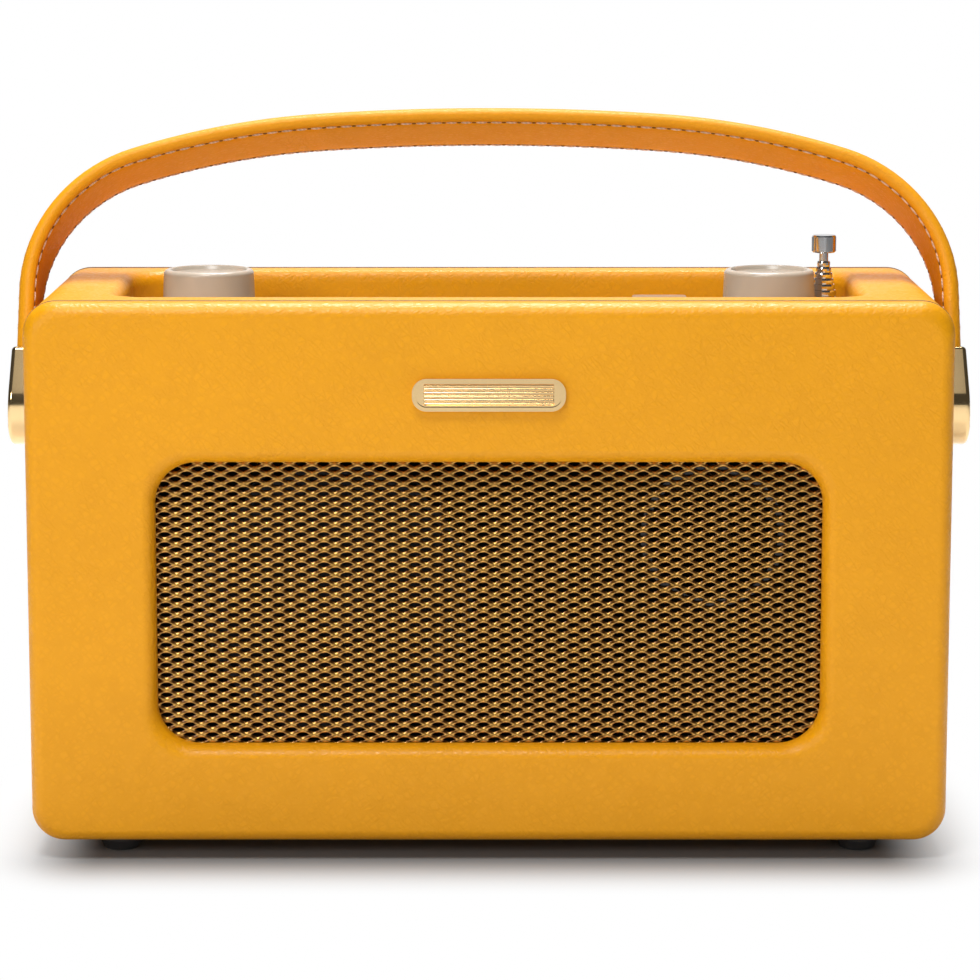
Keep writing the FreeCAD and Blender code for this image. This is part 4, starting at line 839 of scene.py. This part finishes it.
def within(low: Vector, high: Vector, place: Vector, axes: tuple[Axis, Axis]) -> bool:
    """Whether a place lies between two corners or on their edge, on the given axes."""
    return all(low[axis.value] - MM < place[axis.value] < high[axis.value] + MM
               for axis in axes)


@dataclass
class Covers:
    """The leathercloth: a sleeve round the cabinet, and a lapped shell at each end."""

    corner: float = 9 * MM
    rounding: float = 5 * MM
    skin: float = 1 * MM
    turn: float = 1.6 * MM
    fold: float = 1.2 * MM
    shell_fold: float = 0.6 * MM
    bead: float = 0.12 * MM
    rim_edge: float = 0.3 * MM
    arc_steps: int = 12
    roll_steps: int = 10
    fold_steps: int = 5
    window_low: Vector = placed(-92, 0, 32.6)
    window_high: Vector = placed(92, 0, 112.0)
    window_corner: float = 11.6 * MM
    rim: float = 4.6 * MM
    recess_low: Vector = placed(-104, -34, 0)
    recess_high: Vector = placed(104, 36, 0)
    recess_corner: float = 14 * MM
    recess_depth: float = 9 * MM
    lip: float = 4 * MM
    door_side: float = 0.8 * MM
    door_foot: float = 0.68 * MM
    door_height: float = 50 * MM
    plate_corner: float = 3.2 * MM

    def build(self) -> None:
        """Makes the three covers and the shaded strips in the joints between them."""
        self.front()
        self.sleeve()
        self.back()
        self.beads()

    def front(self) -> None:
        """The front shell: a ring of leathercloth that rolls into the window."""
        low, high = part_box("front_leathercloth")
        face = Vector((0, low.y, 0))
        shell = Bench.panel("front_cover", low, high, self.corner, self.arc_steps)
        window = Bench.panel("window", self.window_low + face, self.window_high + face,
                             self.window_corner, self.arc_steps)
        shell.take([window])
        with shell.edit():
            bridge_outlines()
            shell.edges(lambda e: e.is_boundary)
            pull((0, high.y - low.y, 0))
        shell.merge()
        edge = lies_at(Axis.Y, low.y)
        for radius, inner in ((self.rounding, False), (self.rim, True)):
            shell.bevel(radius, self.roll_steps, lambda e: edge(e) and turns_corner(e)
                        and self.in_window(middle(e)) == inner)
        self.turn_in(shell, self.shell_fold, lambda e: not self.in_window(middle(e)))
        self.thicken(shell)
        shell.finish("cabinet", COVER, ("front_leathercloth",))

    def in_window(self, place: Vector) -> bool:
        """Whether a place on the front lies in the window or on its edge."""
        return within(self.window_low, self.window_high, place, (Axis.X, Axis.Z))

    def back(self) -> None:
        """The back shell, with its openings for the battery door and the sockets."""
        low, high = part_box("back_leathercloth")
        depth = Vector((0, high.y - low.y, 0))
        shell = Bench.panel("back_cover", low, high, self.corner, self.arc_steps)
        shell.extrude(depth)
        shell.bevel(self.rounding, self.roll_steps, lies_at(Axis.Y, high.y))
        for name, bottom, top, corner in self.openings():
            tool = Bench.panel(name, bottom - depth, top, corner, 6)
            tool.extrude(3 * depth)
            shell.carve(tool)
        with shell.edit():
            shell.faces(lambda f: facing(-Axis.Y.vector, 0.99)(f)
                        and abs(f.calc_center_median().y - low.y) < 0.1 * MM)
            bpy.ops.mesh.delete(type="FACE")
        centre, half = (low + high) / 2, (high - low) / 2
        rim_share = 0.9
        self.turn_in(shell, self.shell_fold, lambda e: any(
            abs(middle(e)[axis.value] - centre[axis.value]) > rim_share * half[axis.value]
            for axis in (Axis.X, Axis.Z)))
        self.thicken(shell)
        shell.finish("cabinet", COVER, ("back_leathercloth",))

    def openings(self) -> Iterator[tuple[str, Vector, Vector, float]]:
        """Name, corners and corner radius of each opening in the back."""
        bottom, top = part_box("battery_door")
        jamb = top.x + self.door_side
        foot = bottom.z - self.door_foot
        yield ("door_opening", Vector((-jamb, bottom.y, foot)),
               Vector((jamb, bottom.y, foot + self.door_height)), 0.0)
        bottom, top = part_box("rear_socket_plate")
        yield "socket_opening", bottom, top, self.plate_corner

    def sleeve(self) -> None:
        """The wrap round the top, sides and bottom, with its lip rolled into the recess."""
        low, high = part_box("cabinet_leathercloth")
        wrap = Bench.panel("sleeve_wrap", low, high, self.corner, self.arc_steps)
        wrap.extrude(Vector((0, high.y - low.y, 0)))
        with wrap.edit():
            wrap.faces(lambda f: max(abs(f.normal.y), f.normal.z) > 0.9999)
            bpy.ops.mesh.delete(type="ONLY_FACE")
        cover = self.recessed_top(low, high)
        cover.take([wrap])
        cover.merge(0.05 * MM)
        for side in (low.y, high.y):
            self.turn_in(cover, self.fold, lies_at(Axis.Y, side))
        self.thicken(cover)
        cover.finish("cabinet", COVER, ("cabinet_leathercloth",))

    def recessed_top(self, low: Vector, high: Vector) -> Bench:
        """The wrap's flat top, pierced by the recess, with the rolled lip and the walls."""
        inset, level = Vector((self.corner, 0, 0)), Vector((0, 0, high.z))
        flat = Vector((1, 1, 0))
        top = Bench.panel("sleeve_cover", (low + inset) * flat + level,
                          (high - inset) * flat + level, 0.02 * MM, self.arc_steps, Axis.Z)
        hole = Bench.panel("recess", self.recess_low + level, self.recess_high + level,
                           self.recess_corner, self.arc_steps, Axis.Z)
        top.take([hole])
        with top.edit():
            bridge_outlines()
            top.edges(lambda e: e.is_boundary and within(
                self.recess_low, self.recess_high, middle(e), (Axis.X, Axis.Y)))
            pull((0, 0, -self.recess_depth))
        top.bevel(self.lip, self.roll_steps,
                  lambda e: lies_at(Axis.Z, high.z)(e) and turns_corner(e))
        return top

    def beads(self) -> None:
        """The narrow strips in the two joints between shell and sleeve: the board's brown seen in
        each gap, darkened as painted shade.
        """
        low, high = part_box("cabinet_leathercloth")
        grown, shrunk = at(1, 0, 1) * (self.bead / MM), at(-1, 0, -1) * (self.skin / MM)
        rings = []
        for start, end in ((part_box("front_leathercloth")[1].y, low.y),
                           (high.y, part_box("back_leathercloth")[0].y)):
            place = Vector((0, start - low.y, 0))
            ring = Bench.panel("seam_beads", low - grown + place, high + grown + place,
                               self.corner + self.bead, self.arc_steps)
            ring.take([Bench.panel("inside", low - shrunk + place, high + shrunk + place,
                                   self.corner - self.skin, self.arc_steps)])
            with ring.edit():
                bridge_outlines()
            ring.extrude(Vector((0, end - start, 0)))
            ring.bevel(self.bead * 0.6, 3, lambda e: turns_corner(e, 0.3)
                       and lies_at(Axis.Y, middle(e).y)(e))
            rings.append(ring)
        rings[0].take(rings[1:])
        rings[0].smooth(40)
        rings[0].finish("cabinet", SEAM_SHADE)

    def turn_in(self, shell: Bench, fold: float, test: EdgeTest) -> None:
        """Folds a cover's open edge over, as cloth is turned in round a board.

        Args:
            shell: the cover, still without its thickness.
            fold: the radius of the folded edge.
            test: which of the cover's open edges are folded.
        """
        low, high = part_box("cabinet_leathercloth")
        size, centre = high - low, (low + high) / 2
        shares = [1 - 2 * self.turn / size.x, 1.0, 1 - 2 * self.turn / size.z]
        with shell.edit():
            shell.edges(lambda e: e.is_boundary and test(e))
            pull((0, 0, 0))
            bpy.ops.transform.resize(value=shares, center_override=centre)
            face_outwards()
        shell.bevel(fold, self.fold_steps, lambda e: turns_corner(e, 0.3) and test(e))

    def thicken(self, shell: Bench) -> None:
        """Gives a cover its thickness inwards and softens its cut edges."""
        shell.modify("SOLIDIFY", thickness=self.skin, offset=-1.0, use_even_offset=True)
        shell.bevel(self.rim_edge, 2, lambda e: turns_corner(e, 0.3))
        shell.smooth(50)


class Spot(Enum):
    """Where a corner of a mesh cell's ring lies, seen from the cell's middle."""

    LIP = "top"
    FOOT = "bottom"
    END = "left or right"
    UPPER = "between top and end"
    LOWER = "between bottom and end"

    @classmethod
    def of(cls, vertex: bmesh.types.BMVert) -> Spot:
        """The spot that a vertex takes."""
        near = 0.01 * MM
        if abs(vertex.co.z) < near:
            return cls.END
        if abs(vertex.co.x) < near:
            return cls.LIP if vertex.co.z > 0 else cls.FOOT
        return cls.UPPER if vertex.co.z > 0 else cls.LOWER


@dataclass(frozen=True)
class Ring:
    """One ring of a mesh cell: its size, and each spot's depth and share of height."""

    size: float
    lies: dict[Spot, tuple[float, float]]


@dataclass
class Grille:
    """Expanded metal: staggered holes between domed bonds and sunken strands."""

    long_way: float = 6.29 * MM
    short_way: float = 2.83 * MM
    sheet: float = 0.4 * MM
    step: float = 5 * MM
    columns: int = 30
    rows: int = 30
    rings: tuple[Ring, ...] = (
        Ring(1.0, {Spot.LIP: (0, 1), Spot.FOOT: (0, 1), Spot.END: (0, 1),
                   Spot.UPPER: (0.66 * MM, 1), Spot.LOWER: (0.66 * MM, 1)}),
        Ring(0.70, {Spot.LIP: (0.02 * MM, 1), Spot.FOOT: (0.15 * MM, 1),
                    Spot.END: (0.05 * MM, 1), Spot.UPPER: (0.36 * MM, 1.15),
                    Spot.LOWER: (0.8 * MM, 1)}),
        Ring(0.52, {Spot.LIP: (0.3 * MM, 0.74), Spot.FOOT: (0.8 * MM, 0.6),
                    Spot.END: (0.6 * MM, 1), Spot.UPPER: (0.5 * MM, 1.35),
                    Spot.LOWER: (0.9 * MM, 1.05)}),
    )

    def build(self) -> None:
        """Makes one cell, repeats it over the sheet and gives it its thickness."""
        low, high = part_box("speaker_grille")
        sheet = self.cell()
        sheet.take([sheet.copy("twin", Matrix.Translation(
            (self.long_way / 2, 0, self.short_way / 2)))])
        for count, step in ((self.columns, (self.long_way, 0, 0)),
                            (self.rows, (0, 0, self.short_way))):
            sheet.modify("ARRAY", count=count, use_relative_offset=False,
                         use_constant_offset=True, constant_offset_displace=step)
        centre = (low + high) / 2
        sheet.turn(Matrix.Translation((centre.x - (self.columns - 0.5) * self.long_way / 2, low.y,
                                       centre.z - (self.rows - 0.5) * self.short_way / 2)))
        sheet.merge()
        self.face_forward(sheet)
        sheet.modify("SOLIDIFY", thickness=self.sheet, offset=-1.0)
        sheet.smooth(180, weighted=False)
        sheet.finish("cabinet", GRILLE, ("speaker_grille",))

    @staticmethod
    def face_forward(sheet: Bench) -> None:
        """Turns the open sheet's outside to the front."""
        with sheet.edit():
            mesh = bmesh.from_edit_mesh(sheet.object.data)
            if sum(face.normal.y for face in mesh.faces) > 0:
                bpy.ops.mesh.flip_normals()

    def cell(self) -> Bench:
        """The front of one diamond of the sheet round its lens-shaped hole."""
        bpy.ops.mesh.primitive_circle_add(vertices=4, radius=1, fill_type="NOTHING",
                                          rotation=Axis.Y.turn)
        cell = Bench("grille_mesh")
        cell.settle()
        cell.object.scale = (self.long_way / 2, 1, self.short_way / 2)
        cell.settle()
        with cell.edit():
            bpy.ops.mesh.subdivide(number_cuts=1)
            bpy.ops.mesh.edge_face_add()
            for before, ring in zip(self.rings, self.rings[1:]):
                share = ring.size / before.size
                pull((0, self.step, 0))
                bpy.ops.transform.resize(value=(share, 1, share), center_override=(0, 0, 0))
            cell.faces(lambda f: len(f.verts) == 2 * 4)
            bpy.ops.mesh.delete(type="ONLY_FACE")
            for index, ring in enumerate(self.rings):
                self.lay(cell, index * self.step, ring)
        return cell

    @staticmethod
    def lay(cell: Bench, level: float, ring: Ring) -> None:
        """Moves each spot of one ring to its depth and its height.

        Args:
            cell: the cell, in edit mode.
            level: where the ring lies now.
            ring: how it should lie.
        """
        for spot, (depth, height) in ring.lies.items():
            cell.verts(lambda v: abs(v.co.y - level) < MM and Spot.of(v) is spot)
            bpy.ops.transform.resize(value=(1, 1, height), center_override=(0, 0, 0))
            bpy.ops.transform.translate(value=(0, depth - level, 0))


@dataclass
class Knobs:
    """The two press-and-turn knobs: a rounded rim round a shallow dish."""

    top_edge: float = 1.3 * MM
    taper: float = 0.4 * MM
    rim: float = 0.5 * MM
    dish: float = 1.3 * MM
    dish_wall: float = 0.65 * MM
    dish_fall: float = 0.85
    dish_floor: float = 0.3
    dish_edge: float = 0.4 * MM
    hollow: float = 8 * MM
    hollow_depth: float = 4.5 * MM

    def build(self) -> None:
        """Makes each knob in its own place."""
        for node in ("volume_knob", "tuning_knob"):
            self.knob(node)

    def knob(self, node: str) -> None:
        """Turns one knob from a cylinder.

        Args:
            node: the CAD node that the knob stands for, which is also its body.
        """
        low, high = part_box(node)
        radius, centre = (high.x - low.x) / 2, (low + high) / 2
        knob = Bench.rod(node + "_turned", radius, high.z - low.z, centre, sides=96)
        share = 1 - self.taper / radius
        with knob.edit():
            knob.faces(facing(Axis.Z.vector))
            bpy.ops.transform.resize(value=(share, share, 1), center_override=centre)
            bpy.ops.mesh.inset(thickness=self.top_edge + self.rim)
            for inset, fall in ((self.dish_wall, self.dish_fall),
                                (radius * self.dish_floor, 1 - self.dish_fall)):
                bpy.ops.mesh.inset(thickness=inset)
                bpy.ops.transform.translate(value=(0, 0, -self.dish * fall))
            knob.faces(facing(-Axis.Z.vector))
            bpy.ops.mesh.inset(thickness=radius - self.hollow)
            pull((0, 0, self.hollow_depth))
        for width, steps, inset in ((self.top_edge, 6, 0.0),
                                    (self.dish_edge, 3, self.top_edge + self.rim)):
            circle = self.ring_test(centre, radius * share - inset)
            knob.bevel(width, steps, lambda e: lies_at(Axis.Z, high.z)(e) and circle(e))
        knob.smooth(35)
        knob.finish(node, KNOB, (node,))

    @staticmethod
    def ring_test(centre: Vector, radius: float) -> EdgeTest:
        """A test for edges on a level circle round a centre."""
        return lambda edge: all(abs(math.hypot(v.co.x - centre.x, v.co.y - centre.y) - radius)
                                < 0.1 * MM for v in edge.verts)


@dataclass
class Badge:
    """Raised flutes on the bare field of the name plaque."""

    count: int = 6
    margin: float = 3.2 * MM
    margin_up: float = 1.984 * MM
    radius: float = 0.42 * MM
    end: float = 0.252 * MM
    field_depth: float = 0.8 * MM

    def build(self) -> None:
        """Lays the half-sunk round bars side by side on the field."""
        low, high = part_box("badge_plaque")
        length = high.x - low.x - 2 * self.margin
        pitch = (high.z - low.z - 2 * self.margin_up) / (self.count - 1)
        bars = []
        for index in range(self.count):
            centre = Vector(((low.x + high.x) / 2, low.y + self.field_depth,
                             low.z + self.margin_up + index * pitch))
            bar = Bench.rod("badge_flutes", self.radius, length, centre, Axis.X, 12)
            bar.bevel(self.end, 3, turns_corner)
            bars.append(bar)
        bars[0].take(bars[1:])
        bars[0].smooth(40)
        bars[0].finish("cabinet", GOLD)


# ---------------------------------------------------------------- carrying handle


@dataclass(frozen=True)
class Arc:
    """One arc of the strap's line, from one angle off upright to another."""

    centre: Vector
    radius: float
    start: float
    end: float

    @property
    def length(self) -> float:
        """The arc's length along the strap's outer face."""
        return self.radius * (self.end - self.start)


@dataclass
class Handle:
    """The padded strap, its lining and the stitches along both."""

    pivot: float = 122.5 * MM
    lean: float = 25.0
    rise: float = 87.0 * MM
    crown: tuple[float, float] = (700 * MM, 50 * MM)
    haunch: tuple[float, float] = (220 * MM, 104 * MM)
    side: float = 135.4 * MM
    foot: float = 5 * MM
    steps: tuple[int, int, int] = (10, 16, 18)
    strap_section: tuple[tuple[float, float], ...] = (
        (0, 0), (3.36, -0.03), (5.82, -0.13), (7.17, -0.28), (7.84, -0.37), (8.51, -0.45),
        (9.3, -0.71), (10.14, -1.19), (10.81, -1.89), (11.16, -2.7), (11.09, -3.56),
        (10.64, -4.37), (9.97, -4.86), (9.41, -4.99), (9.02, -4.86), (8.85, -4.54))
    lining_section: tuple[tuple[float, float], ...] = (
        (9.18, -4.32), (9.13, -4.64), (8.79, -4.97), (8.18, -5.18), (6.94, -5.31), (4.48, -5.38),
        (0, -5.4))
    outer_row: tuple[float, float] = (7.8 * MM, -0.55 * MM)
    inner_row: tuple[float, float] = (8.95 * MM, -5.1 * MM)
    seam_end: float = 13.5 * MM
    thread_pitch: float = 4.4 * MM
    stitch: tuple[float, float, float] = (3.2 * MM, 0.75 * MM, 0.6 * MM)
    # size of the dark beads painted as shade in the needle holes
    hole: tuple[float, float, float] = (1.1 * MM, 0.75 * MM, 0.4 * MM)

    def build(self) -> None:
        """Makes the strap, the lining and the seams."""
        strap = self.sweep("strap_cover", self.closed(self.strap_section))
        strap.smooth(40, weighted=False)
        strap.finish("handle", STRAP, ("handle_strap",))
        lining = self.sweep("strap_lining", self.closed(self.lining_section))
        lining.smooth(40, weighted=False)
        lining.finish("handle", LINING, ("handle_lining",))
        self.seam("outer_seam", *self.outer_row)
        self.seam("inner_seam", *self.inner_row)

    @property
    def seat(self) -> Matrix:
        """Takes the handle's own upright frame to its place on the cabinet."""
        return (Matrix.Translation((0, 0, self.pivot))
                @ Matrix.Rotation(math.radians(-self.lean), 4, "X"))

    def arcs(self) -> list[Arc]:
        """The three arcs that follow each other from the middle to the side."""
        radius, reach = self.crown
        centre = Vector((0, 0, self.rise - radius))
        found = [Arc(centre, radius, 0.0, math.asin(reach / radius))]
        radius, reach = self.haunch
        found.append(self.following(found[-1], radius, reach))
        bend = found[-1].end
        knee = found[-1].centre.x + radius * math.sin(bend)
        last = (self.side - knee) / (1 - math.sin(bend))
        found.append(self.following(found[-1], last, self.side))
        return found

    @staticmethod
    def following(before: Arc, radius: float, reach: float) -> Arc:
        """The arc that carries on smoothly from another, out to a distance across."""
        bend = before.end
        centre = before.centre + Vector((math.sin(bend), 0, math.cos(bend))) * (
            before.radius - radius)
        return Arc(centre, radius, bend, math.asin(min(1.0, (reach - centre.x) / radius)))

    @staticmethod
    def closed(section: tuple[tuple[float, float], ...]) -> list[tuple[float, float]]:
        """A half section mirrored into a whole one, in millimetres."""
        mirrored = [(-across, up) for across, up in reversed(section) if across]
        return list(section) + mirrored

    def sweep(self, name: str, section: list[tuple[float, float]]) -> Bench:
        """Draws a section along the strap's line, from end to end.

        Args:
            name: the piece's name.
            section: the places across and above the strap's outer face, in millimetres.

        Returns:
            The piece, in its place on the cabinet.
        """
        piece = Bench.outline(name, [Vector((0, across * MM, self.rise + up * MM))
                                     for across, up in section])
        arcs = self.arcs()
        with piece.edit():
            piece.verts(lambda v: len(v.link_edges) == 1)
            bpy.ops.mesh.edge_face_add()
            bpy.ops.mesh.select_all(action="SELECT")
            for arc, steps in zip(arcs, self.steps):
                bpy.ops.mesh.spin(steps=steps, angle=arc.start - arc.end, center=arc.centre,
                                  axis=(0, 1, 0))
            pull((0, 0, self.foot - arcs[-1].centre.z))
            bpy.ops.mesh.edge_face_add()
        piece.modify("MIRROR", use_axis=(True, False, False), merge_threshold=0.02 * MM)
        piece.merge()
        piece.turn(self.seat)
        return piece

    def frame_at(self, distance: float, across: float, up: float) -> Matrix:
        """The place and heading on the strap's line, in the cabinet's frame.

        Args:
            distance: how far along the line from the middle; below 0 is to the left.
            across: the place across the strap.
            up: the place above the strap's outer face.

        Returns:
            A matrix whose X follows the line and whose Z stands on the strap's face.
        """
        sign = -1.0 if distance < 0 else 1.0
        left = abs(distance)
        for arc in self.arcs():
            if left <= arc.length:
                bend, down = arc.start + left / arc.radius, 0.0
                break
            left -= arc.length
        else:
            bend, down = arc.end, left
        reach = arc.radius + up
        place = arc.centre + Vector((math.sin(bend) * reach, 0, math.cos(bend) * reach - down))
        return (self.seat @ Matrix.Translation((place.x * sign, across, place.z))
                @ Matrix.Rotation(bend * sign, 4, "Y"))

    def seam(self, name: str, row: float, up: float) -> None:
        """Stitches along both edges of one face, with dark beads painted as the shade in the needle
        holes.

        Args:
            name: what the seam is called.
            row: how far from the strap's middle each row lies.
            up: the height of both rows above the strap's outer face.
        """
        arcs = self.arcs()
        straight = arcs[-1].centre.z - self.seam_end
        count = int((sum(arc.length for arc in arcs) + straight) / self.thread_pitch)
        for kind, size, share, finish in (("", self.stitch, 0.5, THREAD),
                                          ("_holes", self.hole, 0.0, HOLE_SHADE)):
            pattern = Bench.bead(name + "_pattern", size)
            made = [pattern.copy(name + kind, self.frame_at((index + share) * self.thread_pitch,
                                                            side, up))
                    for index in range(-count, count) for side in (-row, row)]
            pattern.discard()
            made[0].take(made[1:])
            made[0].smooth(80, weighted=False)
            made[0].finish("handle", finish)


@dataclass
class Caps:
    """The metal end caps: half-round below the pivot, slanted on the outside."""

    inner: float = 129.0 * MM
    outer: float = 137.1 * MM
    slant: float = 1.1 * MM
    radius: float = 12.5 * MM
    rise: float = 12.6 * MM
    edge: float = 1.2 * MM
    mouth_edge: float = 0.25 * MM
    mouth_low: Vector = placed(130.1, -11.2, 5)
    mouth_high: Vector = placed(135.4, 11.2, 20)

    def build(self, seat: Matrix) -> None:
        """Makes the right cap, mirrors it and leans both with the handle."""
        low = Vector((self.inner, -self.radius, -self.radius))
        cap = Bench.panel("end_caps", low, Vector((self.outer, self.radius, self.rise)),
                          axis=Axis.X)
        nearly_all = 0.9999
        with cap.edit():
            cap.verts(lambda v: v.co.z < 0)
            bpy.ops.mesh.bevel(affect="VERTICES", offset=self.radius * nearly_all, segments=24)
        cap.extrude(Vector((self.outer - self.inner, 0, 0)))
        normal = Vector((self.rise + self.radius, 0, self.slant)).normalized()
        with cap.edit():
            bpy.ops.mesh.bisect(plane_co=(self.outer, 0, -self.radius), plane_no=normal,
                                use_fill=True, clear_outer=True)
        cap.merge()
        cap.bevel(self.edge, 6, lambda e: turns_corner(e, 0.6))
        mouth = Bench.block("mouth", self.mouth_low, self.mouth_high)
        cap.carve(mouth)
        cap.bevel(self.mouth_edge, 2, lambda e: turns_corner(e, 0.3)
                  and self.mouth_low.z - MM < middle(e).z)
        cap.modify("MIRROR", use_axis=(True, False, False), use_mirror_merge=False)
        cap.merge()
        cap.turn(seat)
        cap.smooth(40)
        cap.finish("handle", GOLD, ("handle_cap_left", "handle_cap_right"))


# ---------------------------------------------------------------- studio


@dataclass(frozen=True)
class Lamp:
    """A square soft box that faces the radio."""

    name: str
    place: tuple[float, float, float]
    size: float
    power: float
    in_view: bool = True
    in_gloss: bool = True

    def hang(self, aim: Vector) -> None:
        """Puts the lamp in its place and turns it to a point."""
        data = bpy.data.lights.new(self.name, "AREA")
        data.size = self.size
        data.energy = self.power
        lamp = bpy.data.objects.new(self.name, data)
        lamp.location = self.place
        lamp.rotation_euler = (aim - lamp.location).to_track_quat("-Z", "Y").to_euler()
        lamp.visible_camera = self.in_view
        lamp.visible_glossy = self.in_gloss
        bpy.context.scene.collection.objects.link(lamp)


LAMPS: tuple[Lamp, ...] = (
    Lamp("key_box", (-0.80, -1.25, 0.62), 0.34, 5.0),
    Lamp("top_box", (-0.2, -0.62, 1.3), 0.42, 9.6),
    Lamp("card", (0.0, -1.0, 1.0), 0.7, 0.7),
    Lamp("back_box", (0.0, 0.4, 1.2), 0.5, 16.0),
    Lamp("horizon_card", (0.0, 1.3, 0.5), 0.9, 1.8, in_view=False),
    Lamp("fill_box", (0.2, -1.8, 0.06), 0.8, 3.6, in_gloss=False),
)


@dataclass
class Studio:
    """Floor, backdrop, lamps and camera."""

    floor_half: float = 6.0
    wall_back: float = 3.5
    wall_height: float = 6.0
    sweep: float = 1.2
    camera_place: tuple[float, float, float] = (0.0003, -1.0397, 0.2650)
    camera_pitch: float = 9.2066
    camera_lens: float = 134.15
    sensor: float = 36.0
    air: float = 0.06
    white: float = 1.0
    # near: the paper's grey beside the radio, a painted shadow
    near: float = 0.3
    far: float = 0.85
    footprint: Vector = placed(108, 48, 0)
    shadow_reach: float = 40 * MM
    aim: Vector = placed(0, 0, 90)

    def build(self) -> None:
        """Makes the whole studio."""
        self.camera()
        self.backdrop()
        self.world()
        for lamp in LAMPS:
            lamp.hang(self.aim)
        bpy.context.scene.view_settings.view_transform = "Standard"
        LOG.info("studio ready")

    def camera(self) -> None:
        """A long lens a little above the radio, looking slightly down."""
        data = bpy.data.cameras.new("camera")
        data.lens = self.camera_lens
        data.sensor_width = self.sensor
        camera = bpy.data.objects.new("camera", data)
        camera.location = self.camera_place
        camera.rotation_euler = (math.radians(90 - self.camera_pitch), 0, 0)
        bpy.context.scene.collection.objects.link(camera)
        bpy.context.scene.camera = camera

    def backdrop(self) -> None:
        """A floor that sweeps up into a wall, in one sheet."""
        bpy.ops.mesh.primitive_plane_add(size=2 * self.floor_half)
        sheet = Bench("backdrop")
        with sheet.edit():
            sheet.verts(lambda v: v.co.y > 0)
            bpy.ops.transform.translate(value=(0, self.wall_back - self.floor_half, 0))
            sheet.edges(lies_at(Axis.Y, self.wall_back, MM))
            pull((0, 0, self.wall_height))
        sheet.bevel(self.sweep, 12, lambda e: lies_at(Axis.Y, self.wall_back, MM)(e)
                    and lies_at(Axis.Z, 0.0, MM)(e))
        sheet.smooth(60, weighted=False)
        sheet.object.data.materials.append(self.paper())

    def paper(self) -> bpy.types.Material:
        """White paper: plain white further out, and a soft shadow close to the radio, deepened by a
        painted shadow in the paper's own grey.
        """
        material, graph = blank_material("backdrop_paper")
        glow = graph.add("Emission", Color=(1.0, 1.0, 1.0, 1.0), Strength=self.white)
        path = graph.add("LightPath")
        seen = graph.maths("MAXIMUM", path.outputs["Is Camera Ray"],
                           path.outputs["Is Transmission Ray"])
        away = graph.vectors("ABSOLUTE", graph.place())
        away = graph.vectors("MAXIMUM", graph.vectors("SUBTRACT", away, self.footprint), Vector())
        share = graph.remap(graph.vectors("LENGTH", away), 0.0, self.shadow_reach)
        # painted shadow: the paper's grey darkens towards the radio
        matt = graph.add("BsdfDiffuse", Color=graph.blend(share, (self.near,) * 3, (self.far,) * 3))
        both = graph.add("MixShader", i0=graph.maths("MULTIPLY", seen, share),
                         i1=matt.outputs[0], i2=glow.outputs[0])
        graph.add("OutputMaterial", Surface=both.outputs[0])
        return material

    def world(self) -> None:
        """Dim air all round that looks white from the camera."""
        world = bpy.data.worlds.new("studio_air")
        bpy.context.scene.world = world
        world.use_nodes = True
        graph = Graph(world.node_tree)
        seen = graph.add("LightPath").outputs["Is Camera Ray"]
        graph.fill(world.node_tree.nodes["Background"], Color=(1.0, 1.0, 1.0, 1.0),
                   Strength=graph.maths("MULTIPLY_ADD", seen, self.white - self.air, self.air))


def main() -> None:
    """Loads the frame, dresses and builds every piece, and lights it."""
    logging.basicConfig(level=logging.INFO, format="%(name)s: %(message)s")
    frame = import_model()
    Studio().build()
    dressed = {finish.slot: finish for finish in FINISHES}
    for part in frame["record"]["subparts"]:
        dressed[part["material_slot"]].dress(frame["nodes"][part["node"]])
    Covers().build()
    Grille().build()
    Knobs().build()
    Badge().build()
    handle = Handle()
    handle.build()
    Caps().build(handle.seat)


if __name__ == "__main__":
    main()
